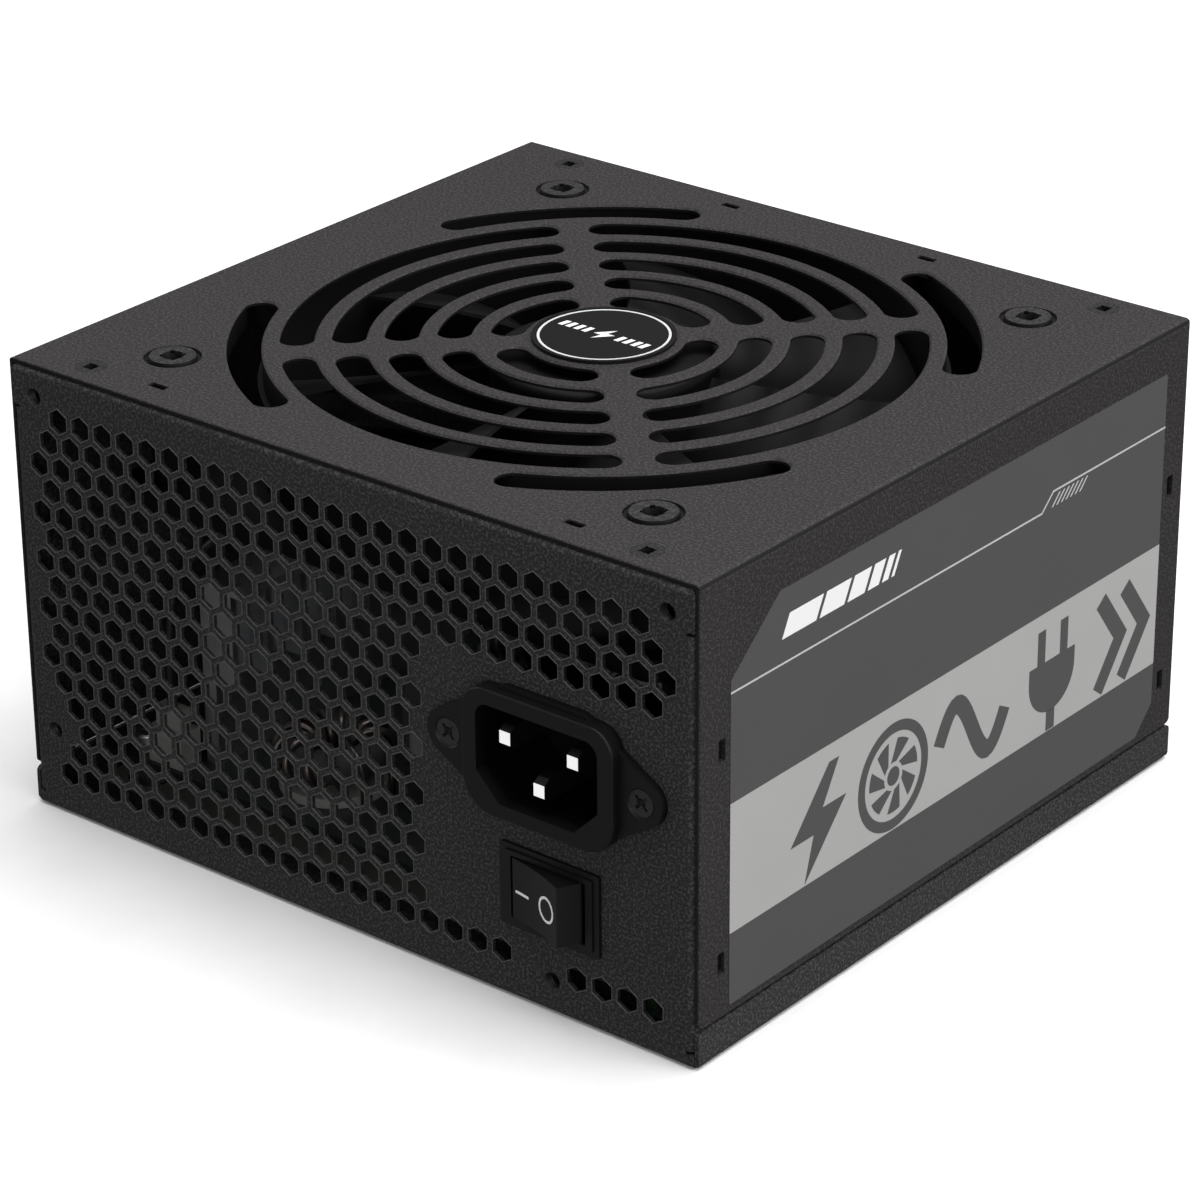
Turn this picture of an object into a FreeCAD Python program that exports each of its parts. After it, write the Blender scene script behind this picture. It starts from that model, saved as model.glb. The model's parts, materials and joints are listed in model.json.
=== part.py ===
"""Desktop computer power supply unit, as separate pieces in millimetres.

The origin is the middle of the case's underside.  +Z is up, through the fan
grille.  -Y is the rear panel, with the mains inlet, switch and honeycomb vent.
"""
import FreeCAD
import Part
import math
import os

V = FreeCAD.Vector

# Case sheet metal
CASE_WIDTH = 150.0
CASE_DEPTH = 140.0
CASE_HEIGHT = 86.0
SHEET = 0.8
BEND = 1.2
SKIN_GAP = 0.1
LIP_HEIGHT = 6.8
LIP_ROOT_X = 70.0
LIP_CORNER_R = 1.0
COVER_FOOT = 7.4
COVER_SETBACK = 0.4
COVER_CORNER_R = 1.5
COVER_EDGE_R = 0.35
TOP_FLANGE = 9.7
SIDE_FLANGE = 7.7
SIDE_FLANGE_Z = (3.2, 77.0)
SIDE_FLANGE_ROOT = 4.0
BEND_RELIEF = 0.7

# Rear panel
MOUNT_HOLES = [(-69.0, 80.0), (69.0, 80.0), (-69.0, 16.0), (45.0, 6.0)]
MOUNT_HOLE_R = 1.6
MOUNT_COLLAR_R = 2.5
MOUNT_COLLAR_LENGTH = 2.0
HEX_PITCH = 5.28
HEX_FLAT = 4.2
HEX_TOP_ROW_Z = 76.8
HEX_ROWS = 16
HEX_FIELD_HALF = 68.7
HEX_BLANKS = [(17.0, 75.0, 10.5, 61.0), (36.0, 48.5, 0.0, 10.5)]
HEX_CLEAR_OF_HOLE = 6.2

# Fan grille pressed into the cover
GRILLE_SLOT = 6.0
GRILLE_PITCH = 9.0
GRILLE_FIRST_R = 17.1
GRILLE_RINGS = 5
GRILLE_SPOKE = 5.4
GRILLE_CHAMFER = 0.35
OUTER_ARC_DEG = 19.8
BADGE_R = 12.6
BADGE_HEIGHT = 0.6
BADGE_RIM = 0.7
BADGE_DISH = 0.15

# Fasteners
FAN_SCREW_XY = 52.5
FAN_SCREW_HEAD_R = 4.3
FAN_SCREW_PROUD = 0.3
FAN_SCREW_DRIVE_R = 1.95
FAN_SCREW_DRIVE_DEPTH = 1.7
FAN_SCREW_SHANK_R = 2.1
FAN_SCREW_LENGTH = 14.0
FAN_SCREW_RECESS_R = 5.05
FAN_SCREW_RECESS_DEPTH = 0.55
COVER_SCREW_X = 60.5
COVER_SCREW_Y = 64.2
COVER_SCREW_HEAD_R = 2.7
COVER_SCREW_DRIVE_R = 1.15
COVER_SCREW_DRIVE_DEPTH = 1.3
COVER_SCREW_SHANK_R = 1.5
COVER_SCREW_LENGTH = 6.0
TOP_SLOTS = [(-45.3, -63.5), (45.3, -63.5), (-22.2, 64.8), (22.2, 64.8)]
TOP_SLOT_SIZE = (3.8, 1.6)
SIDE_SLOTS = [(-63.9, 55.5), (-63.9, 17.3), (65.4, 55.5), (65.4, 17.3)]
SIDE_SLOT_SIZE = (1.8, 4.0)
SLOT_CORNER_R = 0.3

# Side labels
LABEL_THICK = 0.1
LABEL_Y = (-61.8, 62.8)
LABEL_Z = (8.7, 77.7)
LABEL_CORNER_R = 0.5
LABEL_REAR_CUT = (12.6, 10.9)
LABEL_FRONT_CUT = 5.0

# Mains inlet
INLET_X = 44.8
INLET_Z = 46.0
INLET_SCREW_PITCH = 40.0
INLET_RIM = (31.3, 22.6)
INLET_RIM_PROUD = 3.2
INLET_FLANGE_THICK = 1.6
INLET_CAVITY = (25.2, 17.2)
INLET_CAVITY_DEPTH = 17.2
INLET_BARREL = (27.8, 20.0)
INLET_BODY_BACK = 15.6
INLET_EAR_R = 4.3
INLET_APEX = 28.3
INLET_SHOULDER = (8.5, 12.0)
INLET_SCREW_HOLE_R = 1.6
INLET_SCREW_HEAD_R = 2.4
INLET_SINK_R = 2.75
INLET_SINK_DEPTH = 1.15
PIN_X = 7.0
PIN_Z = 3.4
EARTH_PIN_Z = -3.9
PIN_HALF_WIDTH = 1.1
PIN_HALF_HEIGHT = 2.0
PIN_TIP_HALF_HEIGHT = 1.1

# Rocker switch
SWITCH_X = 45.1
SWITCH_Z = 21.6
SWITCH_BEZEL = (20.8, 15.2)
SWITCH_BODY = (19.0, 13.2)
SWITCH_DEPTH = 14.0
SWITCH_WELL_HALF = (7.8, 5.7)
ROCKER_PIVOT_DEPTH = 1.2
ROCKER_TILT = 16.0
ROCKER_RIDGE = (6.45, 4.35)
ROCKER_HALF_HEIGHT = 5.5
ROCKER_DISH = 0.5
ROCKER_PIN_R = 1.2
RUNNING_GAP = 0.05
CONTACT_ARM_DEPTH = 8.3

# Fan
FAN_SIZE = 120.0
FAN_THICK = 25.0
FAN_BORE_R = 57.6
FAN_FLANGE = 4.0
FAN_POST_R = 4.4
FAN_HOLE_R = 2.15
FAN_STRUT = (4.0, 2.6)
FAN_STRUT_DEG = 20.0
FAN_BLADES = 7
FAN_HUB_R = 20.0
FAN_HUB_WALL = 1.4
FAN_YOKE_WALL = 0.9
FAN_MAGNET_WALL = 2.0
FAN_WINDOW_R = (59.0, 65.4)
FAN_WINDOW_DEG = 23.5
MOTOR_BASE_R = 21.0
BEARING_TUBE_R = 5.2
BEARING_R = 4.0
BEARING_TUBE_HEIGHT = 15.0
STATOR_RISE = (6.5, 14.5)
STATOR_LIMB_HALF = 2.2
BLADE_TIP_R = 56.4
SHAFT_R = 1.5

# Circuit board
BOARD_X = 70.0
BOARD_Y = (-59.0, 62.0)
BOARD_Z = 7.3
BOARD_THICK = 1.6
FUSE_Y = -52.0
EARTH_TAG = (67.0, -63.5)
STANDOFFS = [(-64.0, -52.0), (64.0, -52.0), (-64.0, 56.0), (64.0, 56.0)]
STANDOFF_R = 3.2
STANDOFF_RIVET_R = 2.0
BOARD_SCREW_R = 1.25
TRANSFORMER_LIMB = 0.17
TRANSFORMER_CENTRE = 0.16
LEAD_R = 1.1

# Cable opening in the front panel
GROMMET_X = -44.0
GROMMET_Z = 26.0
GROMMET_OPENING = (30.0, 18.0)
GROMMET_CORNER_R = 3.0
GROMMET_WALL = 1.5
GROMMET_FLANGE = 3.0
GROMMET_FLANGE_THICK = 1.6

HALF_W = CASE_WIDTH / 2
HALF_D = CASE_DEPTH / 2
PANEL_HALF = HALF_W - SHEET - SKIN_GAP
PANEL_TOP = CASE_HEIGHT - SHEET - SKIN_GAP
COVER_UNDER = CASE_HEIGHT - SHEET
FAN_TOP = COVER_UNDER
FAN_BASE = FAN_TOP - FAN_THICK
BOARD_TOP = BOARD_Z + BOARD_THICK
REAR = -HALF_D

# Transformers: middle x and y, core width, depth and height, and the height of its foot.
MAIN_TRANSFORMER = (1.0, 8.0, 30.0, 18.0, 32.0, BOARD_TOP + 4.0)
STANDBY_TRANSFORMER = (-5.0, -34.0, 20.0, 8.0, 18.0, BOARD_TOP + 3.0)

# Chokes: middle x, y and z, ring radius, core radius, number of turns and wire radius.
EMI_CHOKE = (29.0, -36.0, BOARD_TOP + 7.4, 7.0, 3.2, 9, 0.6)
PFC_CHOKE = (48.0, 45.0, BOARD_TOP + 12.0, 11.0, 5.2, 15, 0.8)
OUTPUT_CHOKE = (-29.0, 16.0, BOARD_TOP + 8.0, 8.0, 3.6, 13, 0.7)
REAR_CHOKE = (-26.0, -44.0, BOARD_TOP + 6.5, 7.0, 3.0, 9, 0.7)
CHOKES = (EMI_CHOKE, PFC_CHOKE, OUTPUT_CHOKE, REAR_CHOKE)
CHOKE_FIRST_TURN_DEG = 20.0
CHOKE_WOUND_DEG = 320.0


# ---------------------------------------------------------------- helpers
def box(x0, x1, y0, y1, z0, z1):
    """Box between two corners."""
    return Part.makeBox(x1 - x0, y1 - y0, z1 - z0, V(x0, y0, z0))


def rod(radius, start, end):
    """Round bar from one point to another."""
    return Part.makeCylinder(radius, (end - start).Length, start, end - start)


def taper(radius_start, radius_end, start, end):
    """Cone frustum from one point to another."""
    return Part.makeCone(radius_start, radius_end, (end - start).Length, start, end - start)


def tube(outer, inner, start, end):
    """Round bar with a bore right through it."""
    return rod(outer, start, end).cut(rod(inner, start, end))


def in_plane(plane, u, v, w):
    """Point at (u, v) in a named plane, w along the plane's normal."""
    if plane == "XY":
        return V(u, v, w)
    if plane == "XZ":
        return V(u, w, v)
    return V(w, u, v)


def rounded_wire(points):
    """Closed wire through 3-D corners, each (point, radius), rounded by tangent arcs."""
    edges = []
    ends = []
    count = len(points)
    for i, (corner, radius) in enumerate(points):
        before = (corner - points[i - 1][0]).normalize()
        after = (points[(i + 1) % count][0] - corner).normalize()
        if radius <= 0:
            ends.append((corner, corner))
            continue
        turn = before.getAngle(after)
        back = radius * math.tan(turn / 2)
        first = corner - before * back
        last = corner + after * back
        inward = (after - before).normalize()
        middle = corner + inward * (radius / math.cos(turn / 2) - radius)
        edges.append((i, Part.Arc(first, middle, last).toShape()))
        ends.append((first, last))
    arcs = dict(edges)
    path = []
    for i in range(count):
        if i in arcs:
            path.append(arcs[i])
        start = ends[i][1]
        end = ends[(i + 1) % count][0]
        if (end - start).Length > 1e-6:
            path.append(Part.LineSegment(start, end).toShape())
    return Part.Wire(path)


def prism(plane, corners, low, high):
    """Solid of a rounded outline; corners are (u, v) or (u, v, radius)."""
    points = []
    for corner in corners:
        radius = corner[2] if len(corner) > 2 else 0.0
        points.append((in_plane(plane, corner[0], corner[1], low), radius))
    face = Part.Face(rounded_wire(points))
    return face.extrude(in_plane(plane, 0, 0, high - low))


def rounded_rectangle(u, v, width, height, radius):
    """Corners of a rectangle centred on (u, v)."""
    a = width / 2
    b = height / 2
    return [(u - a, v - b, radius), (u + a, v - b, radius), (u + a, v + b, radius), (u - a, v + b, radius)]


def turned(shape, degrees, centre=V(0, 0, 0), axis=V(0, 0, 1)):
    """Copy of a shape, turned about an axis."""
    copy = shape.copy()
    copy.rotate(centre, axis, degrees)
    return copy


def union(first, *others):
    """One solid from touching or overlapping ones, with its flat faces merged."""
    return first.multiFuse(list(others)).removeSplitter()


def group(shapes):
    """Separate solids that share a node."""
    return Part.makeCompound(shapes)


def lead(name, points, radius):
    """Insulated wire: straight runs joined by tangent arcs as large as the runs allow."""
    path = []
    start = points[0]
    radii = []
    for before, corner, after in zip(points, points[1:], points[2:]):
        incoming = corner - before
        outgoing = after - corner
        turn = incoming.getAngle(outgoing)
        back = 0.45 * min(incoming.Length, outgoing.Length)
        bend = back / math.tan(turn / 2)
        radii.append(round(bend, 1))
        first = corner - V(incoming).normalize() * back
        last = corner + V(outgoing).normalize() * back
        inward = (V(outgoing).normalize() - V(incoming).normalize()).normalize()
        middle = corner + inward * (bend / math.cos(turn / 2) - bend)
        path.append(Part.LineSegment(start, first).toShape())
        path.append(Part.Arc(first, middle, last).toShape())
        start = last
    path.append(Part.LineSegment(start, points[-1]).toShape())
    wire = Part.Wire(path)
    circle = Part.Wire(Part.makeCircle(radius, points[0], points[1] - points[0]))
    solid = wire.makePipeShell([circle], True, False, 2)
    print(name, "length", round(wire.Length, 1), "radii", radii, "volume ratio",
          round(solid.Volume / (math.pi * radius * radius * wire.Length), 3))
    return solid


def fan_corners():
    """Places of the fan's four screws."""
    return [(x, y) for x in (-FAN_SCREW_XY, FAN_SCREW_XY) for y in (-FAN_SCREW_XY, FAN_SCREW_XY)]


def cover_corners():
    """Places of the cover's four screws."""
    return [(x, y) for x in (-COVER_SCREW_X, COVER_SCREW_X) for y in (-COVER_SCREW_Y, COVER_SCREW_Y)]


def grommet_outline(margin):
    """Outline of the cable opening, grown by a margin."""
    width, height = GROMMET_OPENING
    radius = GROMMET_CORNER_R + 0.65 * margin
    return rounded_rectangle(GROMMET_X, GROMMET_Z, width + 2 * margin, height + 2 * margin, radius)


# ------------------------------------------------------------------- case
def honeycomb_centres():
    """Hole centres of the rear vent, as (x, z)."""
    centres = []
    row_pitch = HEX_PITCH * math.sqrt(3) / 2
    for row in range(HEX_ROWS):
        z = HEX_TOP_ROW_Z - row * row_pitch
        offset = 0.5 * (row % 2)
        for step in range(-14, 15):
            x = (step + offset) * HEX_PITCH
            blanked = any(x0 < x < x1 and z0 < z < z1 for x0, x1, z0, z1 in HEX_BLANKS)
            near = any(math.hypot(x - hx, z - hz) < HEX_CLEAR_OF_HOLE for hx, hz in MOUNT_HOLES[:3])
            if abs(x) < HEX_FIELD_HALF and not blanked and not near:
                centres.append((x, z))
    return centres


def hexagon(x, z):
    """Cutter for one point-up vent hole."""
    reach = HEX_FLAT / math.sqrt(3)
    corners = []
    for i in range(6):
        angle = math.radians(30 + 60 * i)
        corners.append((x + reach * math.cos(angle), z + reach * math.sin(angle)))
    return prism("XZ", corners, REAR - 1, REAR + SHEET + 1)


def inlet_cutout():
    """Panel holes for the inlet's body and its two screws."""
    clearance = 0.4
    width = INLET_BARREL[0] + clearance
    height = INLET_BARREL[1] + clearance
    body = prism("XZ", rounded_rectangle(INLET_X, INLET_Z, width, height, 3.0), REAR - 1, REAR + 2)
    screws = []
    for side in (-1, 1):
        x = INLET_X + side * INLET_SCREW_PITCH / 2
        screws.append(rod(INLET_SCREW_HOLE_R, V(x, REAR - 1, INLET_Z), V(x, REAR + 2, INLET_Z)))
    return group([body] + screws)


def slot_cutters():
    """Cutters for the locating slots in the cover's top and sides and the flanges behind them."""
    cutters = []
    reach = 5.0
    for x, y in TOP_SLOTS:
        outline = rounded_rectangle(x, y, *TOP_SLOT_SIZE, SLOT_CORNER_R)
        cutters.append(prism("XY", outline, CASE_HEIGHT - reach, CASE_HEIGHT + 1))
    for y, z in SIDE_SLOTS:
        outline = rounded_rectangle(y, z, *SIDE_SLOT_SIZE, SLOT_CORNER_R)
        cutters.append(prism("YZ", outline, -HALF_W - 1, -HALF_W + reach))
        cutters.append(prism("YZ", outline, HALF_W - reach, HALF_W + 1))
    return group(cutters)


def side_flange(side, end):
    """Strip bent inward from one edge of the rear (end -1) or front (end 1) panel."""
    root = PANEL_HALF - SIDE_FLANGE_ROOT
    tip = HALF_D - SHEET - SIDE_FLANGE
    outer = [(root, HALF_D), (PANEL_HALF, HALF_D, BEND), (PANEL_HALF, tip)]
    x = PANEL_HALF - SHEET
    y = HALF_D - SHEET
    inner = [(x, tip), (x, y, BEND - SHEET), (root, y)]
    strip = prism("XY", outer + inner, SIDE_FLANGE_Z[0], SIDE_FLANGE_Z[1])
    if side < 0:
        strip = strip.mirror(V(0, 0, 0), V(1, 0, 0))
    if end < 0:
        strip = strip.mirror(V(0, 0, 0), V(0, 1, 0))
    return strip


def chassis_tray():
    """Base, rear panel and front panel with their top flanges, bent from one sheet."""
    edge = HALF_D - TOP_FLANGE
    skin = [(-edge, PANEL_TOP), (-HALF_D, PANEL_TOP, BEND), (-HALF_D, 0, BEND),
            (HALF_D, 0, BEND), (HALF_D, PANEL_TOP, BEND), (edge, PANEL_TOP)]
    y = HALF_D - SHEET
    z = PANEL_TOP - SHEET
    r = BEND - SHEET
    lining = [(edge, z), (y, z, r), (y, SHEET, r), (-y, SHEET, r), (-y, z, r), (-edge, z)]
    tray = prism("YZ", skin + lining, -PANEL_HALF, PANEL_HALF)
    x = PANEL_HALF
    envelope = [(-x, 0), (x, 0), (x, PANEL_TOP, BEND), (-x, PANEL_TOP, BEND)]
    return tray.common(prism("XZ", envelope, -HALF_D, HALF_D))


def side_lip(side):
    """Upturned strip along one side of the base."""
    outer = side * HALF_W
    inner = side * (HALF_W - SHEET)
    root = side * LIP_ROOT_X
    section = [(root, 0), (outer, 0, BEND), (outer, LIP_HEIGHT), (inner, LIP_HEIGHT),
               (inner, SHEET, BEND - SHEET), (root, SHEET)]
    length = HALF_D - COVER_SETBACK
    strip = prism("XZ", section, -length, length)
    ends = rounded_rectangle(0, LIP_HEIGHT / 2, 2 * length, LIP_HEIGHT, LIP_CORNER_R)
    return strip.common(prism("YZ", ends, -HALF_W, HALF_W))


def chassis():
    """Lower half of the case: the tray, its side flanges and lips, and every hole in it."""
    edges = []
    flanges = []
    for side in (-1, 1):
        for end in (-1, 1):
            x0, x1 = sorted((side * (PANEL_HALF - BEND - 0.3), side * (PANEL_HALF + 1)))
            y0, y1 = sorted((end * (HALF_D - SHEET - 0.5), end * (HALF_D + 1)))
            edges.append(box(x0, x1, y0, y1, SIDE_FLANGE_Z[0] - BEND_RELIEF, SIDE_FLANGE_Z[1] + BEND_RELIEF))
            flanges.append(side_flange(side, end))
        flanges.append(side_lip(side))
    tray = union(chassis_tray().cut(group(edges)), *flanges)
    collars = []
    bores = []
    for x, z in MOUNT_HOLES:
        collars.append(rod(MOUNT_COLLAR_R, V(x, REAR + 0.4, z), V(x, REAR + MOUNT_COLLAR_LENGTH, z)))
        bores.append(rod(MOUNT_HOLE_R, V(x, REAR - 1, z), V(x, REAR + 5, z)))
    tray = union(tray, *collars)
    pilot = COVER_SCREW_SHANK_R + RUNNING_GAP
    for x, y in cover_corners():
        bores.append(rod(pilot, V(x, y, CASE_HEIGHT - COVER_SCREW_LENGTH), V(x, y, CASE_HEIGHT)))
    for x, y in STANDOFFS:
        bores.append(rod(STANDOFF_RIVET_R, V(x, y, -1), V(x, y, 2)))
    cable = prism("XZ", grommet_outline(GROMMET_WALL), HALF_D - 3, HALF_D + 1)
    snap = 0.1
    half_x = SWITCH_BODY[0] / 2 + snap
    half_z = SWITCH_BODY[1] / 2 + snap
    switch = box(SWITCH_X - half_x, SWITCH_X + half_x, REAR - 1, REAR + 2, SWITCH_Z - half_z, SWITCH_Z + half_z)
    tray = tray.cut(group(bores + [cable, switch]))
    tray = tray.cut(inlet_cutout())
    tray = tray.cut(slot_cutters())
    return tray.cut(group([hexagon(x, z) for x, z in honeycomb_centres()]))


def arc_slot(radius, centre_deg, half_deg):
    """Cutter for one curved grille slot with round ends and a chamfered top edge."""
    half = GRILLE_SLOT / 2
    low = COVER_UNDER - 1
    step = CASE_HEIGHT - GRILLE_CHAMFER
    wide = half + GRILLE_CHAMFER + 1
    over = CASE_HEIGHT + 1
    profile = [(radius - half, low), (radius + half, low), (radius + half, step), (radius + wide, over),
               (radius - wide, over), (radius - half, step)]
    points = [(V(u, 0, v), 0) for u, v in profile]
    face = Part.Face(rounded_wire(points))
    sweep = face.revolve(V(0, 0, 0), V(0, 0, 1), 2 * half_deg)
    cutter = turned(sweep, centre_deg - half_deg)
    ends = []
    for angle in (centre_deg - half_deg, centre_deg + half_deg):
        spot = V(radius * math.cos(math.radians(angle)), radius * math.sin(math.radians(angle)), 0)
        ends.append(rod(half, spot + V(0, 0, low), spot + V(0, 0, over)))
        ends.append(taper(half, wide, spot + V(0, 0, step), spot + V(0, 0, over)))
    return cutter.multiFuse(ends)


def arc_bar(radii, centre_deg, half_deg, low, high):
    """Curved bar of rectangular section with square ends."""
    inner, outer = radii
    corners = [V(inner, 0, low), V(outer, 0, low), V(outer, 0, high), V(inner, 0, high), V(inner, 0, low)]
    sweep = Part.Face(Part.makePolygon(corners)).revolve(V(0, 0, 0), V(0, 0, 1), 2 * half_deg)
    return turned(sweep, centre_deg - half_deg)


def grille_cutters():
    """All curved slots of the fan grille."""
    cutters = []
    for ring in range(GRILLE_RINGS):
        radius = GRILLE_FIRST_R + ring * GRILLE_PITCH
        blocked = math.degrees(math.asin((GRILLE_SPOKE / 2 + GRILLE_SLOT / 2) / radius))
        for quarter in range(4):
            cutters.append(arc_slot(radius, 90 * quarter, 45 - blocked))
    outer = GRILLE_FIRST_R + GRILLE_RINGS * GRILLE_PITCH
    for quarter in range(4):
        cutters.append(arc_slot(outer, 45 + 90 * quarter, OUTER_ARC_DEG))
    return cutters


def top_cover():
    """Upper half of the case: top with the fan grille, and the two sides."""
    skin = [(-HALF_W, COVER_FOOT), (-HALF_W, CASE_HEIGHT, BEND),
            (HALF_W, CASE_HEIGHT, BEND), (HALF_W, COVER_FOOT)]
    x = HALF_W - SHEET
    r = BEND - SHEET
    lining = [(x, COVER_FOOT), (x, COVER_UNDER, r), (-x, COVER_UNDER, r), (-x, COVER_FOOT)]
    length = HALF_D - COVER_SETBACK
    cover = prism("XZ", skin + lining, -length, length)
    from_side = [(-length, COVER_FOOT, COVER_CORNER_R), (length, COVER_FOOT, COVER_CORNER_R),
                 (length, CASE_HEIGHT, COVER_EDGE_R), (-length, CASE_HEIGHT, COVER_EDGE_R)]
    from_above = rounded_rectangle(0, 0, CASE_WIDTH, 2 * length, COVER_EDGE_R)
    cover = cover.common(prism("YZ", from_side, -HALF_W, HALF_W))
    cover = cover.common(prism("XY", from_above, 0, CASE_HEIGHT + 1))
    holes = []
    for x, y in fan_corners():
        seat = V(x, y, CASE_HEIGHT - FAN_SCREW_RECESS_DEPTH)
        holes.append(rod(FAN_SCREW_RECESS_R, seat, V(x, y, CASE_HEIGHT + 1)))
        holes.append(rod(FAN_SCREW_SHANK_R + 0.2, V(x, y, COVER_UNDER - 1), V(x, y, CASE_HEIGHT)))
    rim = COVER_SCREW_HEAD_R + 0.1
    for x, y in cover_corners():
        holes.append(taper(rim - SHEET, rim, V(x, y, COVER_UNDER), V(x, y, CASE_HEIGHT)))
        holes.append(rod(rim - SHEET, V(x, y, COVER_UNDER - 1), V(x, y, COVER_UNDER + 0.1)))
    return cover.cut(slot_cutters()).cut(group(grille_cutters())).cut(group(holes))


def grille_badge():
    """Round plate stuck on the grille's hub, with a raised rim."""
    top = CASE_HEIGHT + BADGE_HEIGHT
    base = rod(BADGE_R, V(0, 0, CASE_HEIGHT), V(0, 0, top))
    return base.cut(rod(BADGE_R - BADGE_RIM, V(0, 0, top - BADGE_DISH), V(0, 0, top + 1)))


def side_label(side):
    """Printed label on one side of the cover, with two corners cut off."""
    y0, y1 = LABEL_Y
    z0, z1 = LABEL_Z
    corners = [(y0, z0), (y1 - LABEL_FRONT_CUT, z0), (y1, z0 + LABEL_FRONT_CUT), (y1, z1),
               (y0 + LABEL_REAR_CUT[0], z1), (y0, z1 - LABEL_REAR_CUT[1])]
    outline = [(y, z, LABEL_CORNER_R) for y, z in corners]
    x0, x1 = sorted((side * HALF_W, side * (HALF_W + LABEL_THICK)))
    return prism("YZ", outline, x0, x1)


# -------------------------------------------------------------- fasteners
def cross_recess(radius, depth, top, tip):
    """Cutter for a cross-head driver recess that tapers from top to tip."""
    direction = (tip - top).normalize()
    bottom = top + direction * depth
    blades = []
    width = radius * 0.36
    for angle in (45, 135):
        long_way = V(math.cos(math.radians(angle)), math.sin(math.radians(angle)), 0)
        blade = Part.makeBox(2 * radius, width, depth + 0.5, V(-radius, -width / 2, -depth))
        blade.rotate(V(0, 0, 0), V(0, 0, 1), math.degrees(math.atan2(long_way.y, long_way.x)))
        blades.append(blade)
    core = taper(radius * 0.3, radius * 0.62, V(0, 0, -depth - 0.2), V(0, 0, 0.3))
    cutter = blades[0].multiFuse([blades[1], core])
    cutter.Placement = FreeCAD.Placement(top, FreeCAD.Rotation(V(0, 0, -1), bottom - top))
    return cutter


def fan_screws():
    """Four self-tapping screws that hold the fan under the cover, each with a deep star-cornered socket."""
    screws = []
    for x, y in fan_corners():
        seat = V(x, y, CASE_HEIGHT - FAN_SCREW_RECESS_DEPTH)
        crown = V(x, y, CASE_HEIGHT + FAN_SCREW_PROUD)
        head = taper(FAN_SCREW_HEAD_R, FAN_SCREW_HEAD_R - 0.25, seat, crown)
        shank = rod(FAN_SCREW_SHANK_R, V(x, y, FAN_TOP - FAN_SCREW_LENGTH), seat)
        floor = crown - V(0, 0, FAN_SCREW_DRIVE_DEPTH)
        socket = taper(FAN_SCREW_DRIVE_R * 0.7, FAN_SCREW_DRIVE_R, floor, crown)
        star = cross_recess(FAN_SCREW_DRIVE_R * 1.15, FAN_SCREW_RECESS_DEPTH, crown, seat)
        screws.append(union(head, shank).cut(socket).cut(star))
    return group(screws)


def cover_screws():
    """Four countersunk screws that hold the cover on the chassis."""
    screws = []
    for x, y in cover_corners():
        top = V(x, y, CASE_HEIGHT - 0.03)
        neck = V(x, y, COVER_UNDER)
        head = taper(COVER_SCREW_HEAD_R - SHEET, COVER_SCREW_HEAD_R, neck, top)
        shank = rod(COVER_SCREW_SHANK_R, V(x, y, CASE_HEIGHT - COVER_SCREW_LENGTH), neck + V(0, 0, 0.2))
        floor = top - V(0, 0, COVER_SCREW_DRIVE_DEPTH)
        socket = taper(COVER_SCREW_DRIVE_R * 0.8, COVER_SCREW_DRIVE_R, floor, top)
        star = cross_recess(COVER_SCREW_DRIVE_R * 1.25, SHEET / 2, top, neck)
        screws.append(union(head, shank).cut(socket).cut(star))
    return group(screws)


# ------------------------------------------------------------ mains inlet
def inlet_outline(width, height, top_radius, bottom_radius):
    """Corners of an outline centred on the inlet."""
    a = width / 2
    b = height / 2
    return [(INLET_X - a, INLET_Z - b, bottom_radius), (INLET_X + a, INLET_Z - b, bottom_radius),
            (INLET_X + a, INLET_Z + b, top_radius), (INLET_X - a, INLET_Z + b, top_radius)]


def cavity_corners():
    """Socket outline: a rectangle with its two lower corners cut off."""
    a = INLET_CAVITY[0] / 2
    b = INLET_CAVITY[1] / 2
    cut = 4.9
    return [(INLET_X - a + cut, INLET_Z - b, 0.4), (INLET_X + a - cut, INLET_Z - b, 0.4),
            (INLET_X + a, INLET_Z - b + cut, 0.4), (INLET_X + a, INLET_Z + b, 2.6),
            (INLET_X - a, INLET_Z + b, 2.6), (INLET_X - a, INLET_Z - b + cut, 0.4)]


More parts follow.
